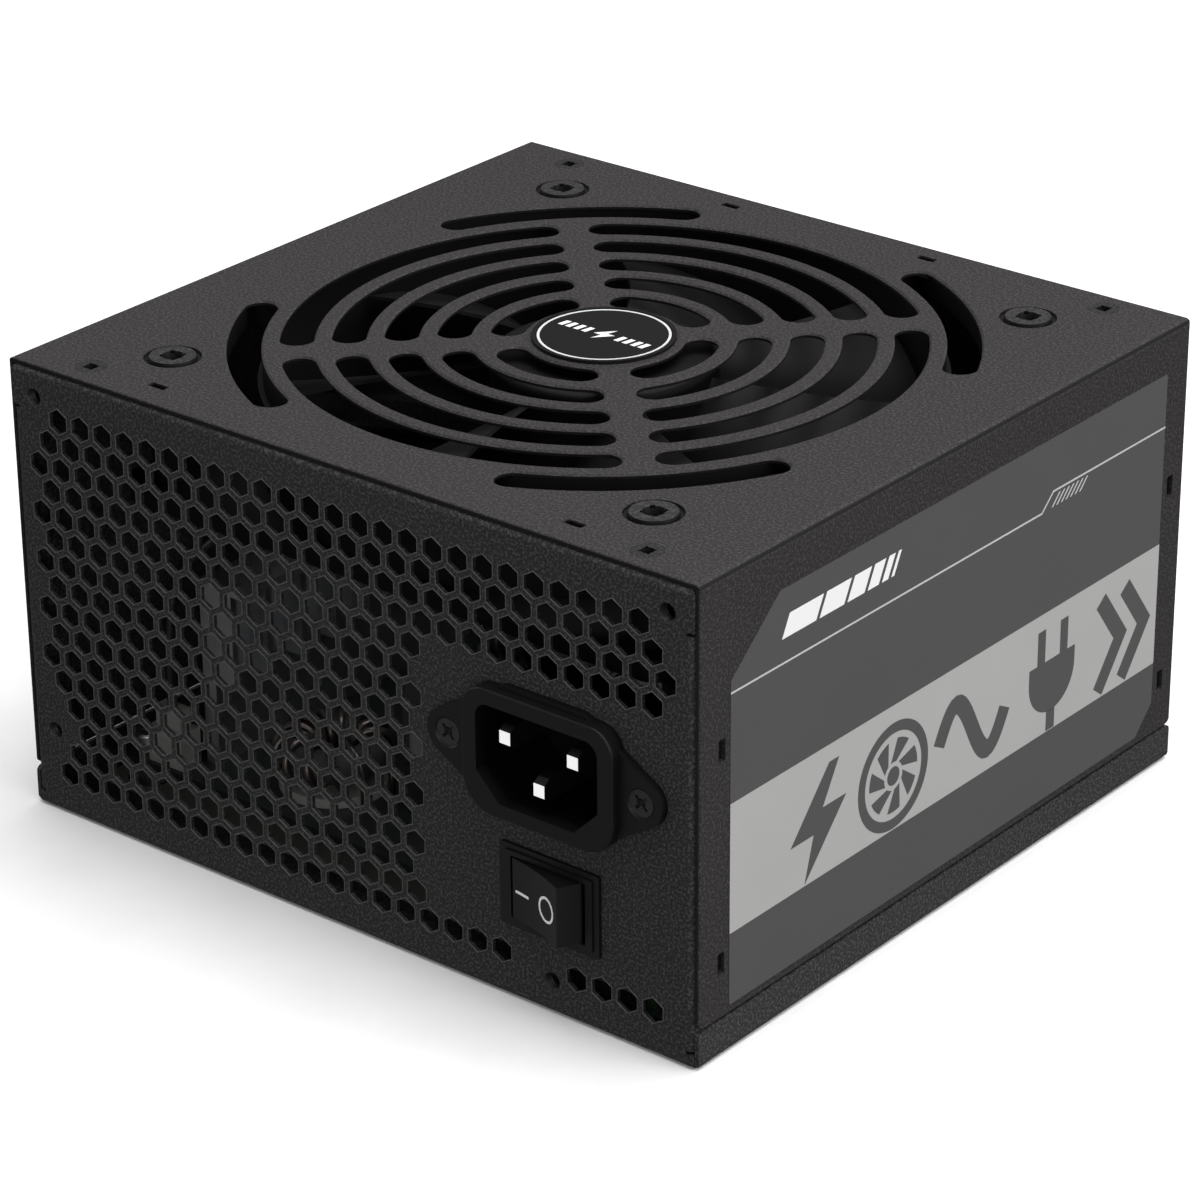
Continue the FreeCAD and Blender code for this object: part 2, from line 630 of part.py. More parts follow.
def inlet_body():
    """Moulded three-pin inlet with two fixing ears."""
    across, up = INLET_SHOULDER
    bend = 4.0
    plate = [(INLET_X - across, INLET_Z + up, bend), (INLET_X - INLET_APEX, INLET_Z, INLET_EAR_R),
             (INLET_X - across, INLET_Z - up, bend), (INLET_X + across, INLET_Z - up, bend),
             (INLET_X + INLET_APEX, INLET_Z, INLET_EAR_R), (INLET_X + across, INLET_Z + up, bend)]
    flange = prism("XZ", plate, REAR - INLET_FLANGE_THICK, REAR)
    mouth = REAR - INLET_RIM_PROUD
    rim = prism("XZ", inlet_outline(*INLET_RIM, 4.6, 6.2), mouth, REAR)
    rim = rim.makeFillet(0.4, [e for e in rim.Edges if abs(e.BoundBox.YMax - mouth) < 1e-4])
    barrel = prism("XZ", inlet_outline(*INLET_BARREL, 2.8, 2.8), REAR, REAR + INLET_BODY_BACK)
    body = union(flange, rim, barrel)
    cavity = prism("XZ", cavity_corners(), mouth - 1, mouth + INLET_CAVITY_DEPTH)
    cutters = [cavity]
    for side in (-1, 1):
        x = INLET_X + side * INLET_SCREW_PITCH / 2
        front = REAR - INLET_FLANGE_THICK
        sink = V(x, front + INLET_SINK_DEPTH, INLET_Z)
        cutters.append(rod(INLET_SCREW_HOLE_R, V(x, front - 1, INLET_Z), V(x, 0, INLET_Z)))
        cutters.append(taper(INLET_SINK_R, INLET_SCREW_HOLE_R, V(x, front, INLET_Z), sink))
    for dx, dz in pin_places():
        x = INLET_X + dx
        z = INLET_Z + dz
        cutters.append(box(x - PIN_HALF_WIDTH, x + PIN_HALF_WIDTH, REAR, REAR + 30,
                           z - PIN_HALF_HEIGHT, z + PIN_HALF_HEIGHT))
    return body.cut(group(cutters))


def pin_places():
    """Live, earth and neutral blades, from the inlet's centre."""
    return [(-PIN_X, PIN_Z), (0.0, EARTH_PIN_Z), (PIN_X, PIN_Z)]


def inlet_pins():
    """Three flat blades with bevelled tips, and their solder tabs."""
    pins = []
    tip = REAR - INLET_RIM_PROUD + 0.7
    floor = REAR - INLET_RIM_PROUD + INLET_CAVITY_DEPTH
    for dx, dz in pin_places():
        x = INLET_X + dx
        z = INLET_Z + dz
        low = z - PIN_HALF_HEIGHT
        high = z + PIN_HALF_HEIGHT
        blade = [(tip, z - PIN_TIP_HALF_HEIGHT), (tip, z + PIN_TIP_HALF_HEIGHT), (tip + 1.3, high),
                 (floor + 3, high), (floor + 3, low), (tip + 1.3, low)]
        pin = prism("YZ", blade, x - PIN_HALF_WIDTH, x + PIN_HALF_WIDTH)
        tab = box(x - 0.4, x + 0.4, floor + 3, floor + 9, low, high)
        pins.append(union(pin, tab))
    return group(pins)


def inlet_screws():
    """Two countersunk cross-head screws through the inlet's ears."""
    screws = []
    front = REAR - INLET_FLANGE_THICK
    for side in (-1, 1):
        x = INLET_X + side * INLET_SCREW_PITCH / 2
        top = V(x, front + 0.25, INLET_Z)
        neck = V(x, front + INLET_SINK_DEPTH, INLET_Z)
        head = taper(INLET_SCREW_HEAD_R, 1.5, top, neck)
        shank = rod(1.5, neck, V(x, REAR + 5.0, INLET_Z))
        screw = union(head, shank).cut(cross_recess(1.6, 0.9, top, neck))
        screws.append(screw)
    return group(screws)


def inlet_nuts():
    """Two hexagon nuts on the inlet screws."""
    nuts = []
    for side in (-1, 1):
        x = INLET_X + side * INLET_SCREW_PITCH / 2
        corners = []
        for i in range(6):
            angle = math.radians(60 * i)
            corners.append((x + 3.1 * math.cos(angle), INLET_Z + 3.1 * math.sin(angle)))
        nut = prism("XZ", corners, REAR + SHEET, REAR + SHEET + 2.4)
        nuts.append(nut.cut(rod(1.5, V(x, REAR, INLET_Z), V(x, REAR + 5, INLET_Z))))
    return group(nuts)


# ---------------------------------------------------------- rocker switch
def switch_housing():
    """Snap-in switch body with a sloping bezel, open to the front."""
    a = SWITCH_BEZEL[0] / 2
    b = SWITCH_BEZEL[1] / 2
    front = REAR - 0.7
    bezel = prism("XZ", rounded_rectangle(SWITCH_X, SWITCH_Z, 2 * a, 2 * b, 0.5), front, REAR)
    step = rounded_rectangle(SWITCH_X, SWITCH_Z, 2 * a - 2.4, 2 * b - 2.0, 0.4)
    raised = prism("XZ", step, front - 0.35, front)
    body_outline = rounded_rectangle(SWITCH_X, SWITCH_Z, SWITCH_BODY[0], SWITCH_BODY[1], 0.4)
    body = prism("XZ", body_outline, REAR, REAR + SWITCH_DEPTH)
    housing = union(bezel, raised, body)
    well_x, well_z = SWITCH_WELL_HALF
    well = box(SWITCH_X - well_x, SWITCH_X + well_x, front - 1, REAR + SWITCH_DEPTH - 1.6,
               SWITCH_Z - well_z, SWITCH_Z + well_z)
    pivot = V(SWITCH_X, REAR + ROCKER_PIVOT_DEPTH, SWITCH_Z)
    socket = rod(ROCKER_PIN_R + RUNNING_GAP, pivot - V(0, 0, 6.4), pivot + V(0, 0, 6.4))
    cutters = [well, socket]
    for x in terminal_places():
        cutters.append(terminal_blade(x, REAR + 8, REAR + SWITCH_DEPTH + 1))
    return housing.cut(group(cutters))


def rocker_point(x, p):
    """Place in the XY plane of a point given from the pivot, p being outward, at rest."""
    tilt = math.radians(ROCKER_TILT)
    return (SWITCH_X + x * math.cos(tilt) - p * math.sin(tilt),
            REAR + ROCKER_PIVOT_DEPTH - x * math.sin(tilt) - p * math.cos(tilt))


def switch_rocker():
    """Rocker with a dished face, resting with its ON side pressed in."""
    ridge_x, ridge_p = ROCKER_RIDGE
    dished = ((-ridge_x, ridge_p), (0, ridge_p - ROCKER_DISH), (ridge_x, ridge_p))
    face = [V(*rocker_point(x, p), SWITCH_Z - ROCKER_HALF_HEIGHT) for x, p in dished]
    keel = ((7.3, -0.1), (2.4, -4.2), (-2.4, -4.2), (-7.3, -0.1))
    rest = [V(*rocker_point(x, p), SWITCH_Z - ROCKER_HALF_HEIGHT) for x, p in keel]
    edges = [Part.Arc(face[0], face[1], face[2]).toShape()]
    chain = [face[2]] + rest + [face[0]]
    for start, end in zip(chain, chain[1:]):
        edges.append(Part.LineSegment(start, end).toShape())
    block = Part.Face(Part.Wire(edges)).extrude(V(0, 0, 2 * ROCKER_HALF_HEIGHT))
    ridges = [e for e in block.Edges if abs(e.BoundBox.ZLength - 2 * ROCKER_HALF_HEIGHT) < 1e-4]
    outer = [e for e in ridges if e.BoundBox.YMax < REAR + 0.5]
    block = block.makeFillet(0.35, outer)
    pivot_y = REAR + ROCKER_PIVOT_DEPTH
    pins = rod(ROCKER_PIN_R, V(SWITCH_X, pivot_y, SWITCH_Z - 6.35), V(SWITCH_X, pivot_y, SWITCH_Z + 6.35))
    bore = rod(1.3, V(*rocker_point(0, -5), SWITCH_Z), V(*rocker_point(0, -0.2), SWITCH_Z))
    return union(block, pins).cut(bore)


def rocker_bar(radius, low, high):
    """Round bar on the rocker's centre line, between two heights from the pivot."""
    return rod(radius, V(*rocker_point(0, low), SWITCH_Z), V(*rocker_point(0, high), SWITCH_Z))


def switch_plunger():
    """Sprung pin in the rocker that pushes the contact arm over."""
    tip = Part.makeSphere(1.2, V(*rocker_point(0, -5.6), SWITCH_Z))
    return union(rocker_bar(1.2, -5.6, -3.0), tip)


def switch_spring():
    """Small compression spring above the plunger."""
    coil = Part.makeHelix(0.7, 2.45, 0.9)
    start = V(0.9, 0, 0)
    ring = Part.Wire(Part.makeCircle(0.16, start, V(0, 1, 0.12)))
    spring = Part.Wire(coil).makePipeShell([ring], True, True)
    x, y = rocker_point(0, -2.8)
    outward = V(*rocker_point(0, 1), 0) - V(*rocker_point(0, 0), 0)
    spring.Placement = FreeCAD.Placement(V(x, y, SWITCH_Z), FreeCAD.Rotation(V(0, 0, 1), outward))
    return spring


def terminal_places():
    """X of the common and the switched terminal."""
    return [SWITCH_X, SWITCH_X + 6.0]


def terminal_blade(x, y0, y1):
    """Flat blade of a switch terminal, 0.8 thick and 4.8 high."""
    return box(x - 0.4, x + 0.4, y0, y1, SWITCH_Z - 2.4, SWITCH_Z + 2.4)


def switch_terminals():
    """Two flat blades through the housing's floor."""
    blades = []
    floor = REAR + SWITCH_DEPTH
    inner = [REAR + CONTACT_ARM_DEPTH + 1.2, REAR + CONTACT_ARM_DEPTH + 2.0]
    for x, start in zip(terminal_places(), inner):
        blades.append(terminal_blade(x, start, floor + 7))
    return group(blades)


def contact_arm_turn():
    """Rest angle of the contact arm about +Z, in degrees: half the rocker's, the other way."""
    return ROCKER_TILT / 2


def switch_contact_arm():
    """Seesaw strip that closes the circuit."""
    y = REAR + CONTACT_ARM_DEPTH
    arm = box(SWITCH_X - 3.4, SWITCH_X + 6.6, y, y + 0.5, SWITCH_Z - 2.0, SWITCH_Z + 2.0)
    stud = rod(0.9, V(SWITCH_X + 5.4, y + 0.5, SWITCH_Z), V(SWITCH_X + 5.4, y + 1.0, SWITCH_Z))
    return turned(union(arm, stud), contact_arm_turn(), V(SWITCH_X, y + 0.5, 0))


# -------------------------------------------------------------------- fan
def fan_frame():
    """Square fan housing: duct, flanges, struts, motor base and bearing tube."""
    low = FAN_BASE + FAN_FLANGE
    high = FAN_TOP - FAN_FLANGE
    square = prism("XY", rounded_rectangle(0, 0, FAN_SIZE, FAN_SIZE, 5.0), FAN_BASE, FAN_TOP)
    waist = rod(FAN_SIZE / 2 - 0.05, V(0, 0, low), V(0, 0, high))
    posts = [rod(FAN_POST_R, V(x, y, low), V(x, y, high)) for x, y in fan_corners()]
    belt = prism("XY", rounded_rectangle(0, 0, FAN_SIZE + 2, FAN_SIZE + 2, 1.0), low, high)
    belt = belt.cut(waist.multiFuse(posts))
    windows = []
    for quarter in range(4):
        windows.append(arc_bar(FAN_WINDOW_R, 45 + 90 * quarter, FAN_WINDOW_DEG, high - 1, FAN_TOP + 1))
    frame = square.cut(belt).cut(group(windows))
    frame = frame.cut(rod(FAN_BORE_R, V(0, 0, FAN_BASE - 1), V(0, 0, FAN_TOP + 1)))
    base = rod(MOTOR_BASE_R, V(0, 0, FAN_BASE), V(0, 0, FAN_BASE + 2))
    sleeve = rod(BEARING_TUBE_R, V(0, 0, FAN_BASE), V(0, 0, FAN_BASE + BEARING_TUBE_HEIGHT))
    width, rise = FAN_STRUT
    struts = []
    for quarter in range(4):
        strut = box(MOTOR_BASE_R - 2, FAN_BORE_R + 1, -width / 2, width / 2, FAN_BASE, FAN_BASE + rise)
        struts.append(turned(strut, FAN_STRUT_DEG + 90 * quarter))
    frame = union(frame, base, sleeve, *struts)
    cutters = [rod(BEARING_R, V(0, 0, FAN_BASE + 1.0), V(0, 0, FAN_TOP + 1))]
    for x, y in fan_corners():
        cutters.append(rod(FAN_HOLE_R, V(x, y, FAN_BASE - 1), V(x, y, FAN_TOP + 1)))
    return frame.cut(group(cutters))


def blade_section(radius, chord, rise, lean_deg):
    """Closed wire of one blade's section at a radius: a thin cambered strip."""
    thick = 0.7
    camber = 1.6
    middle = FAN_BASE + 13.6
    ends = [(-chord / 2, -rise / 2), (chord / 2, rise / 2)]
    along = math.hypot(chord, rise)
    normal = (-rise / along, chord / along)

    def place(s, z):
        return V(radius, s, middle + z)

    def offset(point, distance):
        return (point[0] + normal[0] * distance, point[1] + normal[1] * distance)

    upper = [offset(ends[0], thick / 2), offset((0, 0), camber + thick), offset(ends[1], thick / 2)]
    lower = [offset(ends[1], -thick / 2), offset((0, 0), camber - thick), offset(ends[0], -thick / 2)]
    edges = [Part.Arc(*[place(*p) for p in upper]).toShape(),
             Part.LineSegment(place(*upper[2]), place(*lower[0])).toShape(),
             Part.Arc(*[place(*p) for p in lower]).toShape(),
             Part.LineSegment(place(*lower[2]), place(*upper[0])).toShape()]
    wire = Part.Wire(edges)
    wire.rotate(V(0, 0, 0), V(0, 0, 1), lean_deg)
    return wire


def fan_rotor():
    """Moulded hub cup with swept blades."""
    low = FAN_BASE + 3.6
    top = FAN_TOP - 2.0
    hub = rod(FAN_HUB_R, V(0, 0, low), V(0, 0, top))
    hub = hub.makeFillet(1.5, [e for e in hub.Edges if abs(e.BoundBox.ZMin - top) < 1e-4])
    hub = hub.cut(rod(FAN_HUB_R - FAN_HUB_WALL, V(0, 0, low - 1), V(0, 0, top - 1.5)))
    boss = rod(3.0, V(0, 0, top - 5.0), V(0, 0, top - 1.0))
    shell = tube(BLADE_TIP_R, FAN_HUB_R - 0.5, V(0, 0, FAN_BASE), V(0, 0, FAN_TOP))
    sections = [blade_section(18.5, 11.5, 15.0, 0), blade_section(38.0, 21.0, 12.5, 4.0),
                blade_section(59.0, 31.0, 9.5, 10.0)]
    blade = Part.makeLoft(sections, True).common(shell)
    blades = []
    for i in range(FAN_BLADES):
        blades.append(turned(blade, 360.0 * i / FAN_BLADES))
    rotor = hub.multiFuse([boss] + blades)
    return rotor.cut(rod(SHAFT_R, V(0, 0, top - 5.5), V(0, 0, top - 1.5)))


def fan_shaft():
    """Steel shaft pressed into the rotor's boss."""
    return rod(SHAFT_R, V(0, 0, FAN_BASE + 1.8), V(0, 0, FAN_TOP - 3.5))


def fan_bearing():
    """Sintered sleeve bearing in the frame's tube."""
    top = V(0, 0, FAN_BASE + BEARING_TUBE_HEIGHT)
    return tube(BEARING_R, SHAFT_R + RUNNING_GAP, V(0, 0, FAN_BASE + 3.2), top)


def fan_retaining_clip():
    """Split ring in the shaft's groove that keeps the rotor in."""
    ring = tube(3.0, SHAFT_R, V(0, 0, FAN_BASE + 2.2), V(0, 0, FAN_BASE + 2.7))
    return ring.cut(box(0, 4, -0.5, 0.5, FAN_BASE, FAN_BASE + 5))


def fan_yoke():
    """Steel cup pressed inside the hub."""
    top = FAN_TOP - 3.5
    outer = FAN_HUB_R - FAN_HUB_WALL
    cup = rod(outer, V(0, 0, FAN_BASE + 4.5), V(0, 0, top))
    cup = cup.cut(rod(outer - FAN_YOKE_WALL, V(0, 0, FAN_BASE), V(0, 0, top - FAN_YOKE_WALL)))
    return cup.cut(rod(3.0, V(0, 0, FAN_BASE), V(0, 0, FAN_TOP)))


def fan_magnet_ring():
    """Ring magnet inside the yoke."""
    outer = FAN_HUB_R - FAN_HUB_WALL - FAN_YOKE_WALL
    return tube(outer, outer - FAN_MAGNET_WALL, V(0, 0, FAN_BASE + 5.0), V(0, 0, FAN_BASE + 16.5))


def fan_stator():
    """Laminated four-pole core on the bearing tube."""
    low, high = (FAN_BASE + rise for rise in STATOR_RISE)
    core = rod(7.4, V(0, 0, low), V(0, 0, high))
    limbs = []
    for quarter in range(4):
        limb = box(5, 13.5, -STATOR_LIMB_HALF, STATOR_LIMB_HALF, low, high)
        shoe = tube(15.0, 13.0, V(0, 0, low), V(0, 0, high)).common(box(8, 16, -8.5, 8.5, low, high))
        limbs.append(turned(limb, 90 * quarter))
        limbs.append(turned(shoe, 90 * quarter))
    core = union(core, *limbs)
    return core.cut(rod(BEARING_TUBE_R, V(0, 0, low - 1), V(0, 0, high + 1)))


def fan_coils():
    """Four wound coils on the stator's limbs."""
    coils = []
    low, high = (FAN_BASE + rise for rise in STATOR_RISE)
    for quarter in range(4):
        outer = prism("YZ", rounded_rectangle(0, (low + high) / 2, 7.4, 11.0, 1.4), 8.0, 12.2)
        coil = outer.cut(box(7, 14, -STATOR_LIMB_HALF, STATOR_LIMB_HALF, low, high))
        coils.append(turned(coil, 90 * quarter))
    return group(coils)


def fan_driver_board():
    """Round circuit board under the stator."""
    disc = tube(15.5, BEARING_TUBE_R, V(0, 0, FAN_BASE + 2.6), V(0, 0, FAN_BASE + 3.6))
    chip = box(7.0, 11.0, -2.0, 2.0, FAN_BASE + 3.6, FAN_BASE + 4.6)
    return union(disc, chip)


# ---------------------------------------------------------- circuit board
def main_board():
    """Main circuit board on its four standoffs."""
    y0, y1 = BOARD_Y
    outline = [(-BOARD_X, y0, 2.0), (BOARD_X, y0, 2.0), (BOARD_X, y1, 2.0), (-BOARD_X, y1, 2.0)]
    board = prism("XY", outline, BOARD_Z, BOARD_TOP)
    holes = [rod(1.7, V(x, y, 0), V(x, y, 20)) for x, y in STANDOFFS]
    return board.cut(group(holes))


def board_insulator():
    """Plastic sheet between the board and the base."""
    y0, y1 = BOARD_Y
    side = BOARD_X + 1
    outline = [(-side, y0 + 1, 2.0), (side, y0 + 1, 2.0), (side, y1 + 1, 2.0), (-side, y1 + 1, 2.0)]
    sheet = prism("XY", outline, SHEET, SHEET + 0.4)
    return sheet.cut(group([rod(4.2, V(x, y, 0), V(x, y, 5)) for x, y in STANDOFFS]))


def board_standoffs():
    """Four hexagonal pillars riveted into the base."""
    pillars = []
    for x, y in STANDOFFS:
        corners = []
        for i in range(6):
            angle = math.radians(60 * i)
            corners.append((x + STANDOFF_R * math.cos(angle), y + STANDOFF_R * math.sin(angle)))
        pillar = prism("XY", corners, SHEET, BOARD_Z)
        pillar = union(pillar, rod(STANDOFF_RIVET_R, V(x, y, 0), V(x, y, SHEET)))
        pillars.append(pillar.cut(rod(BOARD_SCREW_R, V(x, y, 1.5), V(x, y, 10))))
    return group(pillars)


def board_screws():
    """Four pan-head screws into the standoffs."""
    screws = []
    for x, y in STANDOFFS:
        top = V(x, y, BOARD_TOP + 1.8)
        head = rod(2.8, V(x, y, BOARD_TOP), top)
        head = head.makeFillet(0.6, [e for e in head.Edges if abs(e.BoundBox.ZMin - top.z) < 1e-4])
        shank = rod(BOARD_SCREW_R, V(x, y, 2.5), V(x, y, BOARD_TOP))
        screws.append(union(head, shank).cut(cross_recess(1.4, 1.0, top, V(x, y, 0))))
    return group(screws)


def can(x, y, radius, height, base=BOARD_TOP):
    """Aluminium-can capacitor with a rolled bead near its foot."""
    body = rod(radius, V(x, y, base), V(x, y, base + height))
    body = body.makeFillet(0.8, body.Edges)
    groove = Part.makeTorus(radius + 0.35, 0.8, V(x, y, base + 4.0), V(0, 0, 1))
    return body.cut(groove)


def bulk_capacitor():
    """Large mains reservoir capacitor."""
    return can(50.0, 12.0, 14.5, 42.0)


def output_capacitors():
    """Low-voltage smoothing capacitors beside the cable opening."""
    wide = [(-62, 22, 24), (-62, 34, 24), (-30, 44, 22), (-18, 44, 22)]
    narrow = [(-62, 46, 16), (-30, 55, 14), (-18, 55, 14)]
    return group([can(x, y, 5.0, h) for x, y, h in wide] + [can(x, y, 4.0, h) for x, y, h in narrow])


def heatsink(x, y0, y1, height, fin_side, fins):
    """Upright finned plate."""
    plate = box(x - 1.5, x + 1.5, y0, y1, BOARD_TOP, BOARD_TOP + height)
    top = BOARD_TOP + height
    bars = [box(min(x, x + fin_side * 9), max(x, x + fin_side * 9), y0, y1, top - 1.6, top)]
    spacing = (y1 - y0 - 1.4) / (fins - 1)
    for i in range(fins):
        y = y0 + i * spacing
        bars.append(box(min(x, x + fin_side * 6), max(x, x + fin_side * 6), y, y + 1.4, BOARD_TOP + 16, top))
    return union(plate, *bars)


def primary_heatsink():
    """Heatsink of the mains-side transistors."""
    return heatsink(24.0, -22.0, 48.0, 40.0, 1, 9)


def secondary_heatsink():
    """Heatsink of the low-voltage rectifiers."""
    return heatsink(-48.0, -52.0, 30.0, 36.0, 1, 10)


def power_package(x, y, side):
    """Three-legged power package bolted flat to a heatsink face at x."""
    x0, x1 = sorted((x, x + side * 4.5))
    body = box(x0, x1, y - 5, y + 5, BOARD_TOP + 4, BOARD_TOP + 14)
    tab = box(min(x, x + side * 1.3), max(x, x + side * 1.3), y - 5, y + 5, BOARD_TOP + 14, BOARD_TOP + 19)
    legs = []
    for dy in (-2.5, 0, 2.5):
        leg_x = x + side * 2
        legs.append(box(leg_x - 0.3, leg_x + 0.3, y + dy - 0.4, y + dy + 0.4, BOARD_TOP, BOARD_TOP + 4))
    return union(body, tab, *legs)


def primary_transistors():
    """Mains-side switching transistors and boost diode."""
    return group([power_package(22.5, y, -1) for y in (-12, 12, 34)])


def output_rectifiers():
    """Low-voltage rectifiers on the secondary heatsink."""
    return group([power_package(-49.5, y, -1) for y in (-40, -24, -8, 10)])


def bridge_rectifier():
    """Flat four-legged bridge."""
    body = box(58, 62, -26, -4, BOARD_TOP + 4, BOARD_TOP + 22)
    legs = []
    for y in (-23.5, -18, -12.5, -7):
        legs.append(box(59.5, 60.5, y - 0.6, y + 0.6, BOARD_TOP, BOARD_TOP + 4))
    return union(body, *legs)


def transformer_core(x, y, width, depth, height, base):
    """Pair of E-cores as one ferrite block with two winding windows."""
    block = box(x - width / 2, x + width / 2, y - depth / 2, y + depth / 2, base, base + height)
    limb = width * TRANSFORMER_LIMB
    centre = width * TRANSFORMER_CENTRE
    windows = []
    for side in (-1, 1):
        a, b = sorted((side * centre, side * (width / 2 - limb)))
        windows.append(box(x + a, x + b, y - depth, y + depth, base + limb, base + height - limb))
    return block.cut(group(windows))


def transformer_winding(x, y, width, depth, height, base):
    """Taped winding round the centre limb of a transformer core."""
    limb = width * TRANSFORMER_LIMB
    centre = width * TRANSFORMER_CENTRE
    gap = 0.3
    outer = prism("XY", rounded_rectangle(x, y, width - 2 * limb - 2 * gap, depth + 9, 3.0),
                  base + limb + gap, base + height - limb - gap)
    return outer.cut(box(x - centre, x + centre, y - depth / 2, y + depth / 2, base, base + height))


def bobbin_feet(x, y, width, depth, height, base):
    """Bobbin rails that stand a transformer on the board."""
    rails = []
    for side in (-1, 1):
        y0, y1 = sorted((y + side * depth / 2, y + side * (depth / 2 + 4.5)))
        rails.append(box(x - width * 0.4, x + width * 0.4, y0, y1, BOARD_TOP, base + width * TRANSFORMER_LIMB))
    return rails


def main_transformer_core():
    """Ferrite core of the main transformer."""
    return transformer_core(*MAIN_TRANSFORMER)


def main_transformer_winding():
    """Winding of the main transformer."""
    return transformer_winding(*MAIN_TRANSFORMER)


def transformer_bobbins():
    """Bobbin rails under both transformers."""
    return group(bobbin_feet(*MAIN_TRANSFORMER) + bobbin_feet(*STANDBY_TRANSFORMER))


def standby_transformer_core():
    """Ferrite core of the standby transformer."""
    return transformer_core(*STANDBY_TRANSFORMER)


def standby_transformer_winding():
    """Winding of the standby transformer."""
    return transformer_winding(*STANDBY_TRANSFORMER)


def choke_cores():
    """Ring cores of the four chokes."""
    return group([Part.makeTorus(major, minor, V(x, y, z)) for x, y, z, major, minor, _, _ in CHOKES])


def choke_windings():
    """Copper turns of the four chokes, each turn a ring of its own."""
    rings = []
    for x, y, z, major, minor, turns, wire in CHOKES:
        middle = V(x, y, z)
        reach = minor + wire + RUNNING_GAP
        for i in range(turns):
            ring = Part.makeTorus(reach, wire, middle + V(major, 0, 0), V(0, 1, 0))
            rings.append(turned(ring, CHOKE_FIRST_TURN_DEG + CHOKE_WOUND_DEG * i / (turns - 1), middle))
    return group(rings)


def choke_seats():
    """Moulded seats that hold the chokes on the board."""
    seats = []
    for x, y, z, major, minor, _, wire in CHOKES:
        top = z - minor - 2 * wire - 0.3
        seats.append(tube(major + minor, major - minor, V(x, y, BOARD_TOP), V(x, y, top)))
    return group(seats)


def x_capacitor():
    """Box film capacitor across the mains."""
    block = box(49, 67, -42, -33, BOARD_TOP, BOARD_TOP + 11)
    return block.makeFillet(0.6, block.Edges)


def y_capacitors():
    """Disc capacitors from each mains line to earth."""
    discs = []
    y = -50.0
    for x in (16.0, 10.0):
        disc = rod(4.5, V(x, y, BOARD_TOP + 7), V(x + 3, y, BOARD_TOP + 7))
        disc = disc.makeFillet(1.0, disc.Edges[:1])
        legs = [box(x + 1.2, x + 1.8, y + d - 0.3, y + d + 0.3, BOARD_TOP, BOARD_TOP + 5) for d in (-2.5, 2.5)]
        discs.append(union(disc, *legs))
    return group(discs)


def fuse():
    """Glass cartridge fuse with end caps, lying in clips."""
    return rod(2.6, V(36, FUSE_Y, BOARD_TOP + 5), V(56, FUSE_Y, BOARD_TOP + 5))


def fuse_clips():
    """Two sprung clips that hold the fuse."""
    clips = []
    for x in (37.5, 51.0):
        clip = box(x, x + 3.5, FUSE_Y - 3.3, FUSE_Y + 3.3, BOARD_TOP, BOARD_TOP + 6.5)
        clips.append(clip.cut(rod(2.6, V(30, FUSE_Y, BOARD_TOP + 5), V(60, FUSE_Y, BOARD_TOP + 5))))
    return group(clips)


def thermistor():
    """Inrush-limiting disc on two legs."""
    y = 10.0
    disc = rod(5.5, V(65.4, y, BOARD_TOP + 9), V(68.4, y, BOARD_TOP + 9))
    legs = [box(66.6, 67.2, y + d - 0.3, y + d + 0.3, BOARD_TOP, BOARD_TOP + 7) for d in (-3, 3)]
    return union(disc, *legs)


def control_board():
    """Upright daughterboard with the supervisor chip."""
    board = box(-2, -0.8, 34, 60, BOARD_TOP, BOARD_TOP + 26)
    chip = box(-3.6, -2, 42, 52, BOARD_TOP + 9, BOARD_TOP + 15)
    return union(board, chip)


def optocouplers():
    """Three small isolators between the mains and low-voltage sides."""
    return group([box(8, 13, y, y + 7, BOARD_TOP, BOARD_TOP + 3.6) for y in (-24, 32, 44)])


def fan_socket():
    """Two-pin header for the fan's lead."""
    shell = box(-58, -50, -58, -53, BOARD_TOP, BOARD_TOP + 7)
    return shell.cut(box(-57, -51, -57, -54, BOARD_TOP + 1.5, BOARD_TOP + 8))


def fan_plug():
    """Plug on the end of the fan's lead."""
    return box(-56.9, -51.1, -56.9, -54.1, BOARD_TOP + 1.6, BOARD_TOP + 11)


def fan_lead():
    """Twin lead from the fan's base down to its plug."""
    points = [V(-13.0, -8.0, FAN_BASE - 1.0), V(-24.0, -16.0, FAN_BASE - 1.2),
              V(-36.0, -28.0, FAN_BASE - 1.6), V(-47.0, -42.0, FAN_BASE - 5.0),
              V(-54.0, -53.0, FAN_BASE - 15.0), V(-54.2, -55.6, FAN_BASE - 28.0),
              V(-54.0, -55.5, BOARD_TOP + 11)]
    return lead("fan_lead", points, 0.9)


def earth_tag():
    """Ring terminal riveted to the base for the earth lead."""
    x, y = EARTH_TAG
    ring = tube(3.6, 1.6, V(x, y, SHEET), V(x, y, SHEET + 0.8))
    rivet = rod(1.6, V(x, y, SHEET), V(x, y, SHEET + 1.6))
    barrel = box(x - 8.5, x - 3.2, y - 1.4, y + 1.4, SHEET, SHEET + 2.6)
    return union(ring, rivet, barrel)


def inlet_tab_end():
    """Y of the ends of the inlet's solder tabs."""
    return REAR - INLET_RIM_PROUD + INLET_CAVITY_DEPTH + 9


def lead_live_in():
    """Live lead, from the inlet to the switch."""
    start = V(INLET_X - PIN_X, inlet_tab_end(), INLET_Z + PIN_Z)
    end = V(SWITCH_X, REAR + SWITCH_DEPTH + 7, SWITCH_Z)
    points = [start, start + V(0, 5, 0), start + V(-3, 8, -7), V(34.0, -40.0, 33.0),
              V(38.5, -39.5, SWITCH_Z + 3), end + V(0, 7, 0), end]
    return lead("lead_live_in", points, LEAD_R)


